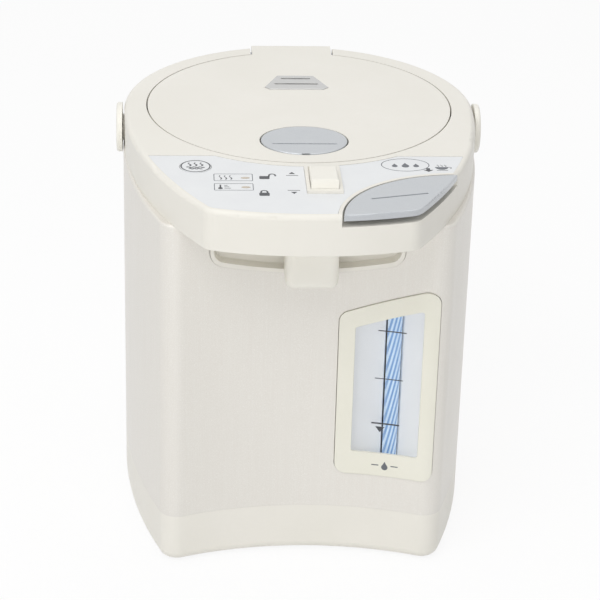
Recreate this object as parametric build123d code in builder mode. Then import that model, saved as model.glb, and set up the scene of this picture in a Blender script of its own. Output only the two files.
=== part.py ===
"""Electric thermo pot: a pump pot with a hinged lid, a carry handle and a push key over the spout.

Millimetres. +Z is up, the spout faces -Y, and the origin is on the floor under the vessel's axis.
"""
import os
from math import asin, cos, degrees, hypot, radians, sin, sqrt

from build123d import *

os.makedirs("parts", exist_ok=True)

# ---------------------------------------------------------------- driving dimensions
# Plan of the body: a round back, long side arcs, and a front face that curves inwards
BODY_RADIUS = 107.8
BODY_SIDE_RADIUS = 340.0
FRONT_REACH = 7.2
BODY_FRONT = BODY_RADIUS + FRONT_REACH
BODY_FRONT_RADIUS = 210.0
BODY_CORNER = 11.0

# Plan of the head: a round collar at the back that runs out into a projecting nose
HEAD_STEP = 0.8
HEAD_RADIUS = BODY_RADIUS - HEAD_STEP
HEAD_SIDE_RADIUS = 290.0
NOSE_REACH = 54.0
HEAD_FRONT = BODY_FRONT + NOSE_REACH
HEAD_FRONT_RADIUS = 200.0
HEAD_CORNER = 11.0

# Heights above the floor
FOOT_GAP = 1.2
BASE_TOP = 33.0
HEAD_TOP = 250.0
HEAD_HEIGHT = 24.5
HEAD_BOTTOM = HEAD_TOP - HEAD_HEIGHT

# Walls and general clearances
SHELL_WALL = 1.2
SHELL_ROLL = 1.6
SHELL_LEDGE = 5.4
BASE_WALL = 2.5
BASE_EDGE = 6.0
HEAD_WALL = 2.5
HEAD_EDGE = 3.0
FIT = 0.3
RUNNING = 0.05
HAIR = 0.1
THROUGH = 5.0

# Vessel
JACKET = 33.8
VESSEL_RADIUS = BODY_RADIUS - JACKET
VESSEL_WALL = 0.8
VESSEL_BOTTOM = 64.0
VESSEL_CORNER = 10.0
VESSEL_FLANGE = 12.0
SEAL_THICKNESS = 1.2

# Lid
COLLAR_WIDTH = 14.1
LID_RADIUS = HEAD_RADIUS - COLLAR_WIDTH
LID_SEAM = 0.8
LID_PLATE = 3.0
LID_SKIRT = 2.0
SEAT_DEPTH = 14.0
LID_SEAT = HEAD_TOP - SEAT_DEPTH
SEAT_WIDTH = 9.9
MOUTH_RADIUS = LID_RADIUS - SEAT_WIDTH
FUNNEL_WALL = 2.5
SEAT_THICKNESS = 2.5
FUNNEL_DEPTH = 14.0
TAB_HALF_WIDTH = 25.8
TAB_OVERHANG = 1.3
TAB_REACH = HEAD_RADIUS + TAB_OVERHANG
TAB_THICKNESS = 9.0
TAB_GAP = 1.1
HINGE_SETBACK = 5.6
HINGE_Y = LID_RADIUS + HINGE_SETBACK
HINGE_DROP = 3.5
HINGE_PIN_RADIUS = 1.6
EAR_WIDTH = 7.0
INNER_LID_WALL = 1.5
INNER_LID_DEPTH = 9.0
PLUG_GAP = 3.0
GASKET_THICKNESS = 1.0
GASKET_WIDTH = 6.0

# Lid lever and its latch
LEVER_INSET = 33.9
LEVER_Y = LEVER_INSET - LID_RADIUS
LEVER_HALF_WIDTH = 25.6
LEVER_HALF_DEPTH = 21.8
LEVER_THICKNESS = 3.4
LEVER_GAP = 0.8
LEVER_POCKET = 6.0
LEVER_PROUD = 0.4
LEVER_SETBACK = 12.8
LEVER_PIN_RADIUS = 1.2
LEVER_KNUCKLE = 2.4
LEVER_KNUCKLE_WIDTH = 6.0
LEVER_LUG = 2.5
LEVER_SPRING_WIRE = 0.5
LEVER_GROOVE_LENGTH = 38.5
LEVER_GROOVE_SHIFT = 6.0
NOTCH_WIDTH = 5.0
NOTCH_DEPTH = 0.9
LEVER_SPRING_TURNS = 5
BOLT_HALF_WIDTH = 8.0
BOLT_THICKNESS = 2.5
BOLT_LENGTH = 20.0
BOLT_SHORT = 0.4
BOLT_TRAVEL = 2.0
CATCH_DEPTH = 3.2
TOE_REACH = 26.0
TOE_THICKNESS = 2.0
TOE_HALF_WIDTH = 2.0
LEVER_SWING = 12.0

# Steam vent
VENT_INSET = 55.4
VENT_Y = LID_RADIUS - VENT_INSET
VENT_DEPTH = 23.5
VENT_FRONT_HALF = 20.0
VENT_BACK_HALF = 11.5
VENT_CUT = 3.4
VENT_THICKNESS = 2.2
VENT_PROUD = 0.5
DUCT_RADIUS = 9.0
DUCT_WALL = 1.5

# Control panel, keys and lock slider
LABEL_INSET = 3.0
LABEL_RISE = 10.4
LABEL_BACK = LABEL_RISE - LID_RADIUS
LABEL_GAP = 5.3
LABEL_DEPTH = 0.8
LABEL_THICKNESS = 0.6
KEY_CENTRE_X = 85.0
KEY_OVERSHOOT = 2.0
KEY_CENTRE_Y = -HEAD_FRONT - KEY_OVERSHOOT
KEY_HALF_WIDTH = 69.0
KEY_HALF_DEPTH = 60.5
KEY_THICKNESS = 3.6
KEY_SURROUND = 2.2
KEY_GAP = 0.9
KEY_TRAVEL = 3.0
KEY_WELL = 7.0
KEY_TRAY = 2.0
KEY_GROOVE_X = 49.3
KEY_GROOVE_SETBACK = 27.6
KEY_GROOVE_LENGTH = 34.0
KEY_GROOVE_ANGLE = 13.8
GROOVE_WIDTH = 1.3
GROOVE_DEPTH = 0.7
KEY_STEM_X = 52.0
KEY_STEM_SETBACK = 33.0
KEY_STEM_Y = KEY_STEM_SETBACK - HEAD_FRONT
KEY_STEM_RADIUS = 3.5
KEY_SPRING_RADIUS = 6.0
KEY_SPRING_WIRE = 0.5
KEY_SPRING_TURNS = 3
REBOIL_X = -64.5
REBOIL_SETBACK = 70.0
REBOIL_Y = REBOIL_SETBACK - HEAD_FRONT
REBOIL_RADIUS = 9.0
REBOIL_TRAVEL = 0.6
LAMP_X = -36.5
LAMP_SETBACK = 40.3
LAMP_PITCH = 13.4
LAMP_Y = (LAMP_SETBACK + LAMP_PITCH - HEAD_FRONT, LAMP_SETBACK - HEAD_FRONT)
LAMP_HALF_LENGTH = 2.6
LAMP_HALF_WIDTH = 1.3
LOCK_X = 7.8
KNOB_WIDTH = 15.6
KNOB_SETBACK = 35.5
KNOB_FRONT = KNOB_SETBACK - HEAD_FRONT
KNOB_LENGTH = 24.5
KNOB_HEIGHT = 5.8
KNOB_SLOPE = 2.0
LOCK_TRAVEL = 7.0
BEZEL_SIDE = 2.4
BEZEL_HEIGHT = 1.2
BEZEL_FRONT = 3.9
LOCK_STEM_WIDTH = 5.0
LOCK_STEM_LENGTH = 10.0

# Control board
BOARD_DROP = 8.0
BOARD_TOP = HEAD_TOP - BOARD_DROP
BOARD_THICKNESS = 1.6
BOARD_LEFT = -78.0
BOARD_RIGHT = 12.0
BOARD_SETBACK = 23.0
BOARD_DEPTH = 54.0
BOARD_STEP = 10.0
BOARD_STEP_START = 33.0
BOARD_STEP_END = 50.0
BOARD_CHAMFER_WIDTH = 28.0
BOARD_CHAMFER_DEPTH = 38.0
BOARD_MARGIN = 7.0
BOARD_SCREW_RADIUS = 1.4
BOARD_POST_RADIUS = 3.0

CHIP_SIZE = 14.0
CHIP_THICKNESS = 2.0
PLUG_HEIGHT = 6.0
SWITCH_HALF_WIDTH = 3.0
SWITCH_HEIGHT = 3.0
KEY_SWITCH_LENGTH = 16.0
KEY_SWITCH_HEIGHT = 6.0

# Spout and the recess behind it
SPOUT_X = 1.6
SPOUT_WIDTH = 30.5
SPOUT_STANDOFF = 4.5
SPOUT_DEPTH = 22.5
SPOUT_BACK = -BODY_FRONT - SPOUT_STANDOFF
SPOUT_FRONT = SPOUT_BACK - SPOUT_DEPTH
SPOUT_DROP = 33.7
SPOUT_BOTTOM = HEAD_BOTTOM - SPOUT_DROP
SPOUT_WALL = 1.8
SPOUT_CORNER = 5.0
SPOUT_ROUND = 4.2
SPOUT_FLANGE = 2.5
SPOUT_LIP = 0.8
COVER_THICKNESS = 2.0
UNDERSIDE_LAP = 11.0
NECK_HALF_WIDTH = 56.2
NECK_HEIGHT = 26.5
NECK_END = HEAD_BOTTOM - NECK_HEIGHT
NECK_SAG = 8.5
NECK_CORNER = 10.0
NECK_RIM = 2.2
NECK_PROUD = 0.7
NECK_DEPTH = 7.0
NECK_WALL = 1.5

# Level window
WINDOW_LEFT = 20.0
WINDOW_RIGHT = 78.0
WINDOW_BOTTOM = 57.0
WINDOW_DROP = 61.4
WINDOW_TOP_LEFT = HEAD_BOTTOM - WINDOW_DROP
WINDOW_SLOPE = 0.38
WINDOW_CORNER = 7.0
WINDOW_PROUD = 0.8
WINDOW_FRAME = 3.4
PANE_LEFT = 29.6
PANE_RIGHT = 68.9
PANE_BOTTOM = 72.4
PANE_DROP = 8.2
PANE_TOP_LEFT = WINDOW_TOP_LEFT - PANE_DROP
PANE_CORNER = 1.5
PANE_SINK = 0.6
PANE_THICKNESS = 1.5
PANE_LEDGE = 1.6
GAUGE_X = 53.5
GAUGE_INSET = 3.5
GAUGE_Y = GAUGE_INSET - BODY_FRONT
GAUGE_RADIUS = 5.5
GAUGE_WALL = 1.0
GAUGE_SPIGOT = 4.0
GAUGE_DROP = 47.5
GAUGE_TOP = HEAD_BOTTOM - GAUGE_DROP
CUT_DEPTH = 12.5
CUT_BACK = CUT_DEPTH - BODY_FRONT
TRAY_DEPTH = 6.0
TRAY_BACK = TRAY_DEPTH - BODY_FRONT
TRAY_WALL = 1.5

# Pump and plumbing
PUMP_X = 30.0
PUMP_Y = -50.0
PUMP_RADIUS = 19.0
PUMP_HEIGHT = 13.0
PUMP_WALL = 2.0
PORT_RADIUS = 4.0
PORT_WALL = 1.0
HOSE_WALL = 1.2
HOSE_BEND = 10.0
HOSE_GRIP = 10.0
HOSE_SETBACK = 17.0
MOTOR_RADIUS = 12.5
MOTOR_LENGTH = 27.0
SHAFT_RADIUS = 1.5
IMPELLER_RADIUS = 14.0
IMPELLER_BLADES = 6
OUTLET_RISE = 4.5

# Heaters and chassis
SHIELD_TOP = 40.0
SHIELD_THICKNESS = 1.2
SHIELD_MARGIN = 19.8
SHIELD_RADIUS = BODY_RADIUS - SHIELD_MARGIN
SHIELD_HOLE_LEFT = -60.0
SHIELD_HOLE_RIGHT = -25.0
SHIELD_HOLE_HALF = 12.0
HEATER_RADIUS = 42.0
HEATER_THICKNESS = 5.0
BAND_BOTTOM = 80.0
BAND_HEIGHT = 40.0
BAND_THICKNESS = 2.0
BAND_SPLIT = 4.0
THERMOSTAT_RADIUS = 8.5
THERMOSTAT_HEIGHT = 9.0
THERMOSTAT_EAR = 6.0
POST_INSET = 27.8
POST_CIRCLE = BODY_RADIUS - POST_INSET
POST_RADIUS = 5.0
TIE_INSET = 16.3
TIE_CIRCLE = BODY_RADIUS - TIE_INSET
TIE_RADIUS = 2.0
TIE_BOSS_RADIUS = 5.8
TIE_ANGLES = (50, 160, 290)
FLANGE_WIDTH = 34.0
FLANGE_THICKNESS = 3.0
PLATE_INSET = 14.0
PLATE_THICKNESS = 2.4
FOOT_INSET = 23.5
FOOT_CIRCLE = BODY_RADIUS - FOOT_INSET
FOOT_RADIUS = 8.0
FOOT_POCKET = 1.0
FOOT_ANGLES = (45, 135, 233, 307)
SCREW_RADIUS = 1.5
SCREW_HEAD_RADIUS = 3.0
SCREW_LENGTH = 12.0
POST_ANGLES = (20, 90, 160, 270)
POWER_BOARD_TOP = 14.0
POWER_BOARD_LEFT = -66.0
POWER_BOARD_RIGHT = -6.0
POWER_BOARD_FRONT = -50.0
POWER_BOARD_BACK = 34.0
POWER_BOARD_MARGIN = 6.0
TRANSFORMER_SIZE = 22.0
TRANSFORMER_HEIGHT = 14.0
RELAY_WIDTH = 14.0
RELAY_LENGTH = 30.0
RELAY_HEIGHT = 10.0
CAPACITOR_RADIUS = 5.0
CAPACITOR_HEIGHT = 16.0
INLET_HALF_WIDTH = 14.0
INLET_BOTTOM = 8.0
INLET_HEIGHT = 19.0
INLET_DEPTH = 12.0
INLET_WALL = 1.6
INLET_PIN_RADIUS = 1.6
INLET_PIN_SPACING = 10.0

# Carry handle
PIVOT_Y = 2.0
PIVOT_DROP = 16.0
PIVOT_Z = HEAD_TOP - PIVOT_DROP
PIVOT_RADIUS = 4.0
HUB_RADIUS = 15.2
HUB_THICKNESS = 3.6
HUB_EDGE = 1.6
HUB_GAP = 0.5
HUB_FACE = BODY_RADIUS + HUB_GAP
BAIL_THICKNESS = 3.0
BAIL_WIDTH = 12.0
BAIL_EDGE = 0.8
BAIL_GAP = 18.7
BAIL_REACH = BODY_RADIUS + BAIL_GAP
BEND_EASE = 10.0
BAIL_BEND = HUB_FACE - BEND_EASE
BAIL_REST_ANGLE = 25.0
GRIP_HALF_LENGTH = 42.0
GRIP_THICKNESS = 7.0
GRIP_EDGE = 1.2

# ---------------------------------------------------------------- sizes that follow
LEAST_CORNER = 1.0
LID_BORE = LID_RADIUS + LID_SEAM
FUNNEL_OUTER = LID_BORE + FUNNEL_WALL
NECK_RING_OUTER = MOUTH_RADIUS + FUNNEL_WALL + 1.0
VESSEL_TOP = LID_SEAT - FUNNEL_DEPTH - SEAL_THICKNESS
CAVITY_TOP = HEAD_TOP - HEAD_WALL
HINGE_Z = HEAD_TOP - HINGE_DROP
SLOT_HALF_WIDTH = TAB_HALF_WIDTH + TAB_GAP
LEVER_HINGE_Y = LEVER_Y + LEVER_HALF_DEPTH - LEVER_SETBACK
LEVER_TOP = HEAD_TOP + LEVER_PROUD
LEVER_FLOOR = HEAD_TOP - LEVER_POCKET
LEVER_HINGE_Z = LEVER_FLOOR + LEVER_KNUCKLE + 0.2
LATCH_TIP = -(LID_RADIUS + BOLT_SHORT)
BOLT_TOP = LEVER_FLOOR - 1.6
BOLT_BOTTOM = BOLT_TOP - BOLT_THICKNESS
KEY_TOP = HEAD_TOP + 0.2
KEY_BOTTOM = KEY_TOP - KEY_THICKNESS
KEY_FLOOR = HEAD_TOP - KEY_WELL
BOARD_BOTTOM = BOARD_TOP - BOARD_THICKNESS
WINDOW_HIGH = WINDOW_TOP_LEFT + WINDOW_SLOPE * (WINDOW_RIGHT - WINDOW_LEFT) + THROUGH
LABEL_TOP = HEAD_TOP - LABEL_DEPTH + LABEL_THICKNESS
PUMP_BOTTOM = SHIELD_TOP
PUMP_TOP = PUMP_BOTTOM + PUMP_HEIGHT
PLATE_BOTTOM = FOOT_GAP
PLATE_TOP = PLATE_BOTTOM + PLATE_THICKNESS
FLANGE_BOTTOM = PLATE_TOP
FLANGE_TOP = FLANGE_BOTTOM + FLANGE_THICKNESS
POST_TOP = SHIELD_TOP - SHIELD_THICKNESS
SEAT_RING_TOP = HEAD_BOTTOM + COVER_THICKNESS


# ---------------------------------------------------------------- helpers
def circle_crossing(centre_1, radius_1, centre_2, radius_2):
    """Where two circles cross, in front of and to the left of the axis."""
    gap = centre_2 - centre_1
    along = (gap.length**2 + radius_1**2 - radius_2**2) / (2 * gap.length)
    across = sqrt(radius_1**2 - along**2)
    foot = centre_1 + gap * (along / gap.length)
    step = Vector(-gap.Y, gap.X) * (across / gap.length)
    crossings = [foot + step, foot - step]
    return max((point for point in crossings if point.X < 0 and point.Y < 0), key=lambda p: p.Y)


def plan_outline(back_radius, side_radius, front, front_radius, corner):
    """Fill the sketch with a round back, two side arcs and a bowed front (radius < 0: hollow)."""
    side_centre = side_radius - back_radius
    front_centre = Vector(0, -front + front_radius)
    tip = circle_crossing(Vector(side_centre, 0), side_radius, front_centre, abs(front_radius))
    half = tip.Y / 2
    half_width = sqrt(side_radius**2 - half**2) - side_centre
    with BuildLine() as edge:
        ThreePointArc((back_radius, 0), (0, back_radius), (-back_radius, 0))
        ThreePointArc((-back_radius, 0), (-half_width, half), (tip.X, tip.Y))
        ThreePointArc((tip.X, tip.Y), (0, -front), (-tip.X, tip.Y))
        ThreePointArc((-tip.X, tip.Y), (half_width, half), (back_radius, 0))
    outline = make_face(edge.edges())
    fillet(outline.vertices().sort_by(Axis.Y)[:2], radius=max(corner, LEAST_CORNER))


def body_plan(inset=0.0):
    """Plan of the body, moved in by inset all round."""
    plan_outline(
        BODY_RADIUS - inset,
        BODY_SIDE_RADIUS - inset,
        BODY_FRONT - inset,
        -BODY_FRONT_RADIUS - inset,
        BODY_CORNER - inset,
    )


def head_plan(inset=0.0):
    """Plan of the head, moved in by inset all round."""
    plan_outline(
        HEAD_RADIUS - inset,
        HEAD_SIDE_RADIUS - inset,
        HEAD_FRONT - inset,
        HEAD_FRONT_RADIUS - inset,
        HEAD_CORNER - inset,
    )


def prism(plan, inset, bottom, top, mode=Mode.ADD):
    """A plan outline raised from one height to another."""
    with BuildSketch(Plane.XY.offset(bottom)) as profile:
        plan(inset)
    extrude(profile.sketch, amount=top - bottom, mode=mode)


def disc(radius, bottom, top, x=0.0, y=0.0, mode=Mode.ADD):
    """An upright cylinder."""
    with BuildSketch(Plane.XY.offset(bottom)) as profile:
        with Locations((x, y)):
            Circle(radius)
    extrude(profile.sketch, amount=top - bottom, mode=mode)


def discs(radius, bottom, top, places, mode=Mode.ADD):
    """Equal upright cylinders at several places."""
    with BuildSketch(Plane.XY.offset(bottom)) as profile:
        with Locations(*places):
            Circle(radius)
    extrude(profile.sketch, amount=top - bottom, mode=mode)


def ellipse_disc(half_width, half_depth, bottom, top, x, y, mode=Mode.ADD):
    """An upright elliptical cylinder."""
    with BuildSketch(Plane.XY.offset(bottom)) as profile:
        with Locations((x, y)):
            Ellipse(half_width, half_depth)
    extrude(profile.sketch, amount=top - bottom, mode=mode)


def block(x_range, y_range, z_range, mode=Mode.ADD):
    """A box between two corners."""
    with BuildSketch(Plane.XY.offset(z_range[0])) as profile:
        with Locations(((x_range[0] + x_range[1]) / 2, (y_range[0] + y_range[1]) / 2)):
            Rectangle(x_range[1] - x_range[0], y_range[1] - y_range[0])
    extrude(profile.sketch, amount=z_range[1] - z_range[0], mode=mode)


def grown(span, amount):
    """A pair of limits moved apart by amount at each end."""
    return (span[0] - amount, span[1] + amount)


def cross_rod(radius, x_from, x_to, y, z, mode=Mode.ADD):
    """A cylinder along X."""
    with BuildSketch(Plane.YZ.offset(x_from)) as profile:
        with Locations((y, z)):
            Circle(radius)
    extrude(profile.sketch, amount=x_to - x_from, mode=mode)


def round_places(circle, angles):
    """Places on a circle about the axis."""
    return [(circle * cos(radians(a)), circle * sin(radians(a))) for a in angles]


def slanted_outline(left, right, bottom, top_left, corner):
    """An upright panel whose top edge rises to the right."""
    top_right = top_left + WINDOW_SLOPE * (right - left)
    with BuildLine() as edge:
        Polyline((left, bottom), (right, bottom), (right, top_right), (left, top_left), close=True)
    outline = make_face(edge.edges())
    fillet(outline.vertices(), radius=max(corner, LEAST_CORNER))


def window_outline(inset=0.0):
    """Outline of the window frame on the front, moved in by inset."""
    slant = WINDOW_SLOPE * inset - inset * sqrt(1 + WINDOW_SLOPE**2)
    slanted_outline(
        WINDOW_LEFT + inset,
        WINDOW_RIGHT - inset,
        WINDOW_BOTTOM + inset,
        WINDOW_TOP_LEFT + slant,
        WINDOW_CORNER - inset,
    )


def pane_outline(inset=0.0):
    """Outline of the opening in the window frame, moved in by inset."""
    slant = WINDOW_SLOPE * inset - inset * sqrt(1 + WINDOW_SLOPE**2)
    slanted_outline(
        PANE_LEFT + inset,
        PANE_RIGHT - inset,
        PANE_BOTTOM + inset,
        PANE_TOP_LEFT + slant,
        PANE_CORNER - inset,
    )


def neck_outline(inset=0.0):
    """The bowl-shaped recess under the head: straight sides and a sagging floor."""
    half = NECK_HALF_WIDTH - inset
    end = NECK_END + inset
    with BuildLine() as edge:
        Polyline((-half, end), (-half, HEAD_BOTTOM), (half, HEAD_BOTTOM), (half, end))
        ThreePointArc((half, end), (0, end - NECK_SAG), (-half, end))
    outline = make_face(edge.edges())
    lower = outline.vertices().sort_by(Axis.Y)[:2]
    fillet(lower, radius=max(NECK_CORNER - inset, LEAST_CORNER))


def wall_layer(outer, inner, bottom, top):
    """A layer of the body's wall between two insets."""
    prism(body_plan, outer, bottom, top)
    prism(body_plan, inner, bottom - THROUGH, top + THROUGH, mode=Mode.SUBTRACT)


def front_cut(outline, inset, back, mode):
    """Cut or keep what lies in front of the plane y = back, inside an outline on the front."""
    with BuildSketch(Plane.XZ.offset(-back)) as profile:
        outline(inset)
    extrude(profile.sketch, amount=HEAD_FRONT + THROUGH + back, mode=mode)


def hose(points):
    """A hose that slips over the ports, along straight runs joined by tangent arcs."""
    with BuildLine() as route:
        FilletPolyline(*points, radius=HOSE_BEND)
    with BuildSketch(Plane(origin=route.line @ 0, z_dir=route.line % 0)) as ring:
        Circle(PORT_RADIUS + HOSE_WALL)
        Circle(PORT_RADIUS + RUNNING, mode=Mode.SUBTRACT)
    sweep(ring.sketch, path=route.line)


def key_ellipse(gap, mode):
    """The rounded inner edge of the dispense key, grown by gap."""
    with Locations((KEY_CENTRE_X, KEY_CENTRE_Y)):
        Ellipse(KEY_HALF_WIDTH + gap, KEY_HALF_DEPTH + gap, mode=mode)


def key_plan(inset=0.0):
    """The dispense key: the front right corner of the head, inside the ellipse."""
    head_plan(inset)
    key_ellipse(-inset, Mode.INTERSECT)


def well_plan(inset=0.0):
    """The well that the key moves in, open to the front and the side."""
    head_plan(-THROUGH)
    key_ellipse(KEY_GAP - inset, Mode.INTERSECT)


def tray_plan(inset=0.0):
    """The well's floor and rim."""
    head_plan(HEAD_WALL / 2)
    key_ellipse(KEY_GAP + KEY_TRAY - inset, Mode.INTERSECT)


def label_plan(inset=0.0):
    """The printed film in front of the lid: head outline, lid arc and key arc bound it."""
    head_plan(LABEL_INSET + inset)
    with Locations((0, LABEL_BACK - inset - HEAD_FRONT)):
        Rectangle(4 * HEAD_FRONT, 2 * HEAD_FRONT, mode=Mode.INTERSECT)
    Circle(LID_RADIUS + LABEL_GAP + inset, mode=Mode.SUBTRACT)
    key_ellipse(KEY_SURROUND + KEY_GAP + inset, Mode.SUBTRACT)


def lock_rectangle(side, front, back, mode=Mode.ADD):
    """A rectangle about the lock slider, given its half width and its two ends."""
    with Locations((LOCK_X, (front + back) / 2)):
        Rectangle(2 * side, back - front, mode=mode)


def vent_plan(inset=0.0):
    """The steam vent: a trapezium, narrow at the back, with its front corners cut."""
    front = VENT_Y - VENT_DEPTH / 2 + inset
    back = VENT_Y + VENT_DEPTH / 2 - inset
    wide = VENT_FRONT_HALF - inset
    narrow = VENT_BACK_HALF - inset
    with BuildLine() as edge:
        Polyline((narrow, back), (wide, front + VENT_CUT), (wide - VENT_CUT, front),
                 (VENT_CUT - wide, front), (-wide, front + VENT_CUT), (-narrow, back), close=True)
    make_face(edge.edges())


def finish(part, name):
    """Label a sub-part and write it."""
    part.label = name
    export_step(part, f"parts/{name}.step")


# ---------------------------------------------------------------- outer shell and base
with BuildPart() as shell_core:
    prism(body_plan, SHELL_WALL, BASE_TOP - THROUGH, HEAD_BOTTOM - SHELL_WALL)
    fillet(shell_core.faces().sort_by(Axis.Z)[-1].edges(), radius=SHELL_ROLL - SHELL_WALL)

SHELL_OPENING = SHELL_ROLL + SHELL_LEDGE
with BuildPart() as body_shell:
    prism(body_plan, 0, BASE_TOP, HEAD_BOTTOM)
    fillet(body_shell.faces().sort_by(Axis.Z)[-1].edges(), radius=SHELL_ROLL)
    add(shell_core.part, mode=Mode.SUBTRACT)
    prism(body_plan, SHELL_OPENING, HEAD_BOTTOM - THROUGH, HEAD_BOTTOM + THROUGH, mode=Mode.SUBTRACT)
    front_cut(neck_outline, -FIT, CUT_BACK, Mode.SUBTRACT)
    front_cut(window_outline, -FIT, CUT_BACK, Mode.SUBTRACT)
finish(body_shell.part, "body_shell")

TONGUE_HEIGHT = 6.0
with BuildPart() as base_housing:
    prism(body_plan, 0, FOOT_GAP, BASE_TOP)
    fillet(base_housing.faces().sort_by(Axis.Z)[0].edges(), radius=BASE_EDGE)
    prism(body_plan, SHELL_WALL + FIT, BASE_TOP - BASE_WALL, BASE_TOP + TONGUE_HEIGHT)
    prism(body_plan, SHELL_WALL + FIT + BASE_WALL, FLANGE_TOP, BASE_TOP + TONGUE_HEIGHT + HAIR,
          mode=Mode.SUBTRACT)
    # the seat of the bottom cover, then the opening above it
    prism(body_plan, PLATE_INSET, FOOT_GAP - HAIR, FLANGE_BOTTOM, mode=Mode.SUBTRACT)
    prism(body_plan, FLANGE_WIDTH, FLANGE_BOTTOM - HAIR, FLANGE_TOP + HAIR, mode=Mode.SUBTRACT)
    discs(POST_RADIUS, FLANGE_BOTTOM, POST_TOP, round_places(POST_CIRCLE, POST_ANGLES))
    discs(SCREW_RADIUS, FLANGE_BOTTOM - HAIR, FLANGE_BOTTOM + SCREW_LENGTH,
          round_places(POST_CIRCLE, POST_ANGLES), mode=Mode.SUBTRACT)
    # the seat of the power inlet, through the back wall
    block((-INLET_HALF_WIDTH - FIT, INLET_HALF_WIDTH + FIT),
          (BODY_RADIUS - INLET_DEPTH, BODY_RADIUS + THROUGH),
          (INLET_BOTTOM - FIT, INLET_BOTTOM + INLET_HEIGHT + FIT), mode=Mode.SUBTRACT)
finish(base_housing.part, "base_housing")

PLATE_FIT = PLATE_INSET + FIT
FEET = [(0, 0)] + round_places(FOOT_CIRCLE, FOOT_ANGLES)
with BuildPart() as bottom_cover:
    prism(body_plan, PLATE_FIT, PLATE_BOTTOM, PLATE_TOP)
    discs(FOOT_RADIUS + FIT, PLATE_BOTTOM - HAIR, PLATE_BOTTOM + FOOT_POCKET, FEET, mode=Mode.SUBTRACT)
    discs(SCREW_RADIUS + FIT, PLATE_BOTTOM - HAIR, PLATE_TOP + HAIR,
          round_places(POST_CIRCLE, POST_ANGLES), mode=Mode.SUBTRACT)
    discs(SCREW_HEAD_RADIUS + FIT, PLATE_BOTTOM - HAIR, PLATE_BOTTOM + FOOT_POCKET,
          round_places(POST_CIRCLE, POST_ANGLES), mode=Mode.SUBTRACT)
finish(bottom_cover.part, "bottom_cover")

with BuildPart() as rubber_feet:
    discs(FOOT_RADIUS, 0, PLATE_BOTTOM + FOOT_POCKET, FEET)
    chamfer(rubber_feet.edges().group_by(Axis.Z)[0], length=FOOT_GAP / 3)
finish(rubber_feet.part, "rubber_feet")

with BuildPart() as bottom_screws:
    discs(SCREW_HEAD_RADIUS, PLATE_BOTTOM, PLATE_BOTTOM + FOOT_POCKET, round_places(POST_CIRCLE, POST_ANGLES))
    discs(SCREW_RADIUS - RUNNING, PLATE_BOTTOM, PLATE_BOTTOM + SCREW_LENGTH,
          round_places(POST_CIRCLE, POST_ANGLES))
finish(bottom_screws.part, "bottom_screws")

INLET_BACK = BODY_RADIUS - INLET_WALL
with BuildPart() as power_inlet:
    block((-INLET_HALF_WIDTH, INLET_HALF_WIDTH), (BODY_RADIUS - INLET_DEPTH, INLET_BACK),
          (INLET_BOTTOM, INLET_BOTTOM + INLET_HEIGHT))
    fillet(power_inlet.edges().filter_by(Axis.Y), radius=2.0)
    block((-INLET_HALF_WIDTH + INLET_WALL, INLET_HALF_WIDTH - INLET_WALL),
          (BODY_RADIUS - INLET_DEPTH + INLET_WALL, BODY_RADIUS),
          (INLET_BOTTOM + INLET_WALL, INLET_BOTTOM + INLET_HEIGHT - INLET_WALL), mode=Mode.SUBTRACT)
    with BuildSketch(Plane.XZ.offset(-INLET_BACK)):
        with Locations(*[(x, INLET_BOTTOM + INLET_HEIGHT / 2)
                         for x in (-INLET_PIN_SPACING / 2, INLET_PIN_SPACING / 2)]):
            Circle(INLET_PIN_RADIUS + RUNNING)
    extrude(amount=INLET_DEPTH, mode=Mode.SUBTRACT)
finish(power_inlet.part, "power_inlet")

INLET_PIN_FRONT = BODY_RADIUS - INLET_DEPTH - 3.0
with BuildPart() as inlet_pins:
    with BuildSketch(Plane.XZ.offset(-INLET_PIN_FRONT)):
        with Locations(*[(x, INLET_BOTTOM + INLET_HEIGHT / 2)
                         for x in (-INLET_PIN_SPACING / 2, INLET_PIN_SPACING / 2)]):
            Circle(INLET_PIN_RADIUS)
    extrude(amount=-(INLET_DEPTH - INLET_WALL))
finish(inlet_pins.part, "inlet_pins")

# ---------------------------------------------------------------- vessel, heaters and chassis
FLANGE_EDGE = VESSEL_RADIUS + VESSEL_FLANGE
VESSEL_PORT = 4.0
with BuildPart() as vessel_space:
    disc(VESSEL_RADIUS, VESSEL_BOTTOM + VESSEL_WALL, VESSEL_TOP + HAIR)
    fillet(vessel_space.faces().sort_by(Axis.Z)[0].edges(), radius=VESSEL_CORNER - VESSEL_WALL)
    disc(PORT_RADIUS - PORT_WALL, VESSEL_BOTTOM - THROUGH, VESSEL_BOTTOM + THROUGH, PUMP_X, PUMP_Y)
with BuildPart() as vessel:
    disc(VESSEL_RADIUS + VESSEL_WALL, VESSEL_BOTTOM, VESSEL_TOP)
    fillet(vessel.faces().sort_by(Axis.Z)[0].edges(), radius=VESSEL_CORNER)
    disc(FLANGE_EDGE, VESSEL_TOP - VESSEL_WALL, VESSEL_TOP)
    disc(PORT_RADIUS, VESSEL_BOTTOM - VESSEL_PORT, VESSEL_BOTTOM + VESSEL_WALL, PUMP_X, PUMP_Y)
    add(vessel_space.part, mode=Mode.SUBTRACT)
finish(vessel.part, "vessel")

with BuildPart() as vessel_seal:
    disc(NECK_RING_OUTER, VESSEL_TOP, VESSEL_TOP + SEAL_THICKNESS)
    disc(MOUTH_RADIUS, VESSEL_TOP - HAIR, VESSEL_TOP + SEAL_THICKNESS + HAIR, mode=Mode.SUBTRACT)
finish(vessel_seal.part, "vessel_seal")

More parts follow.
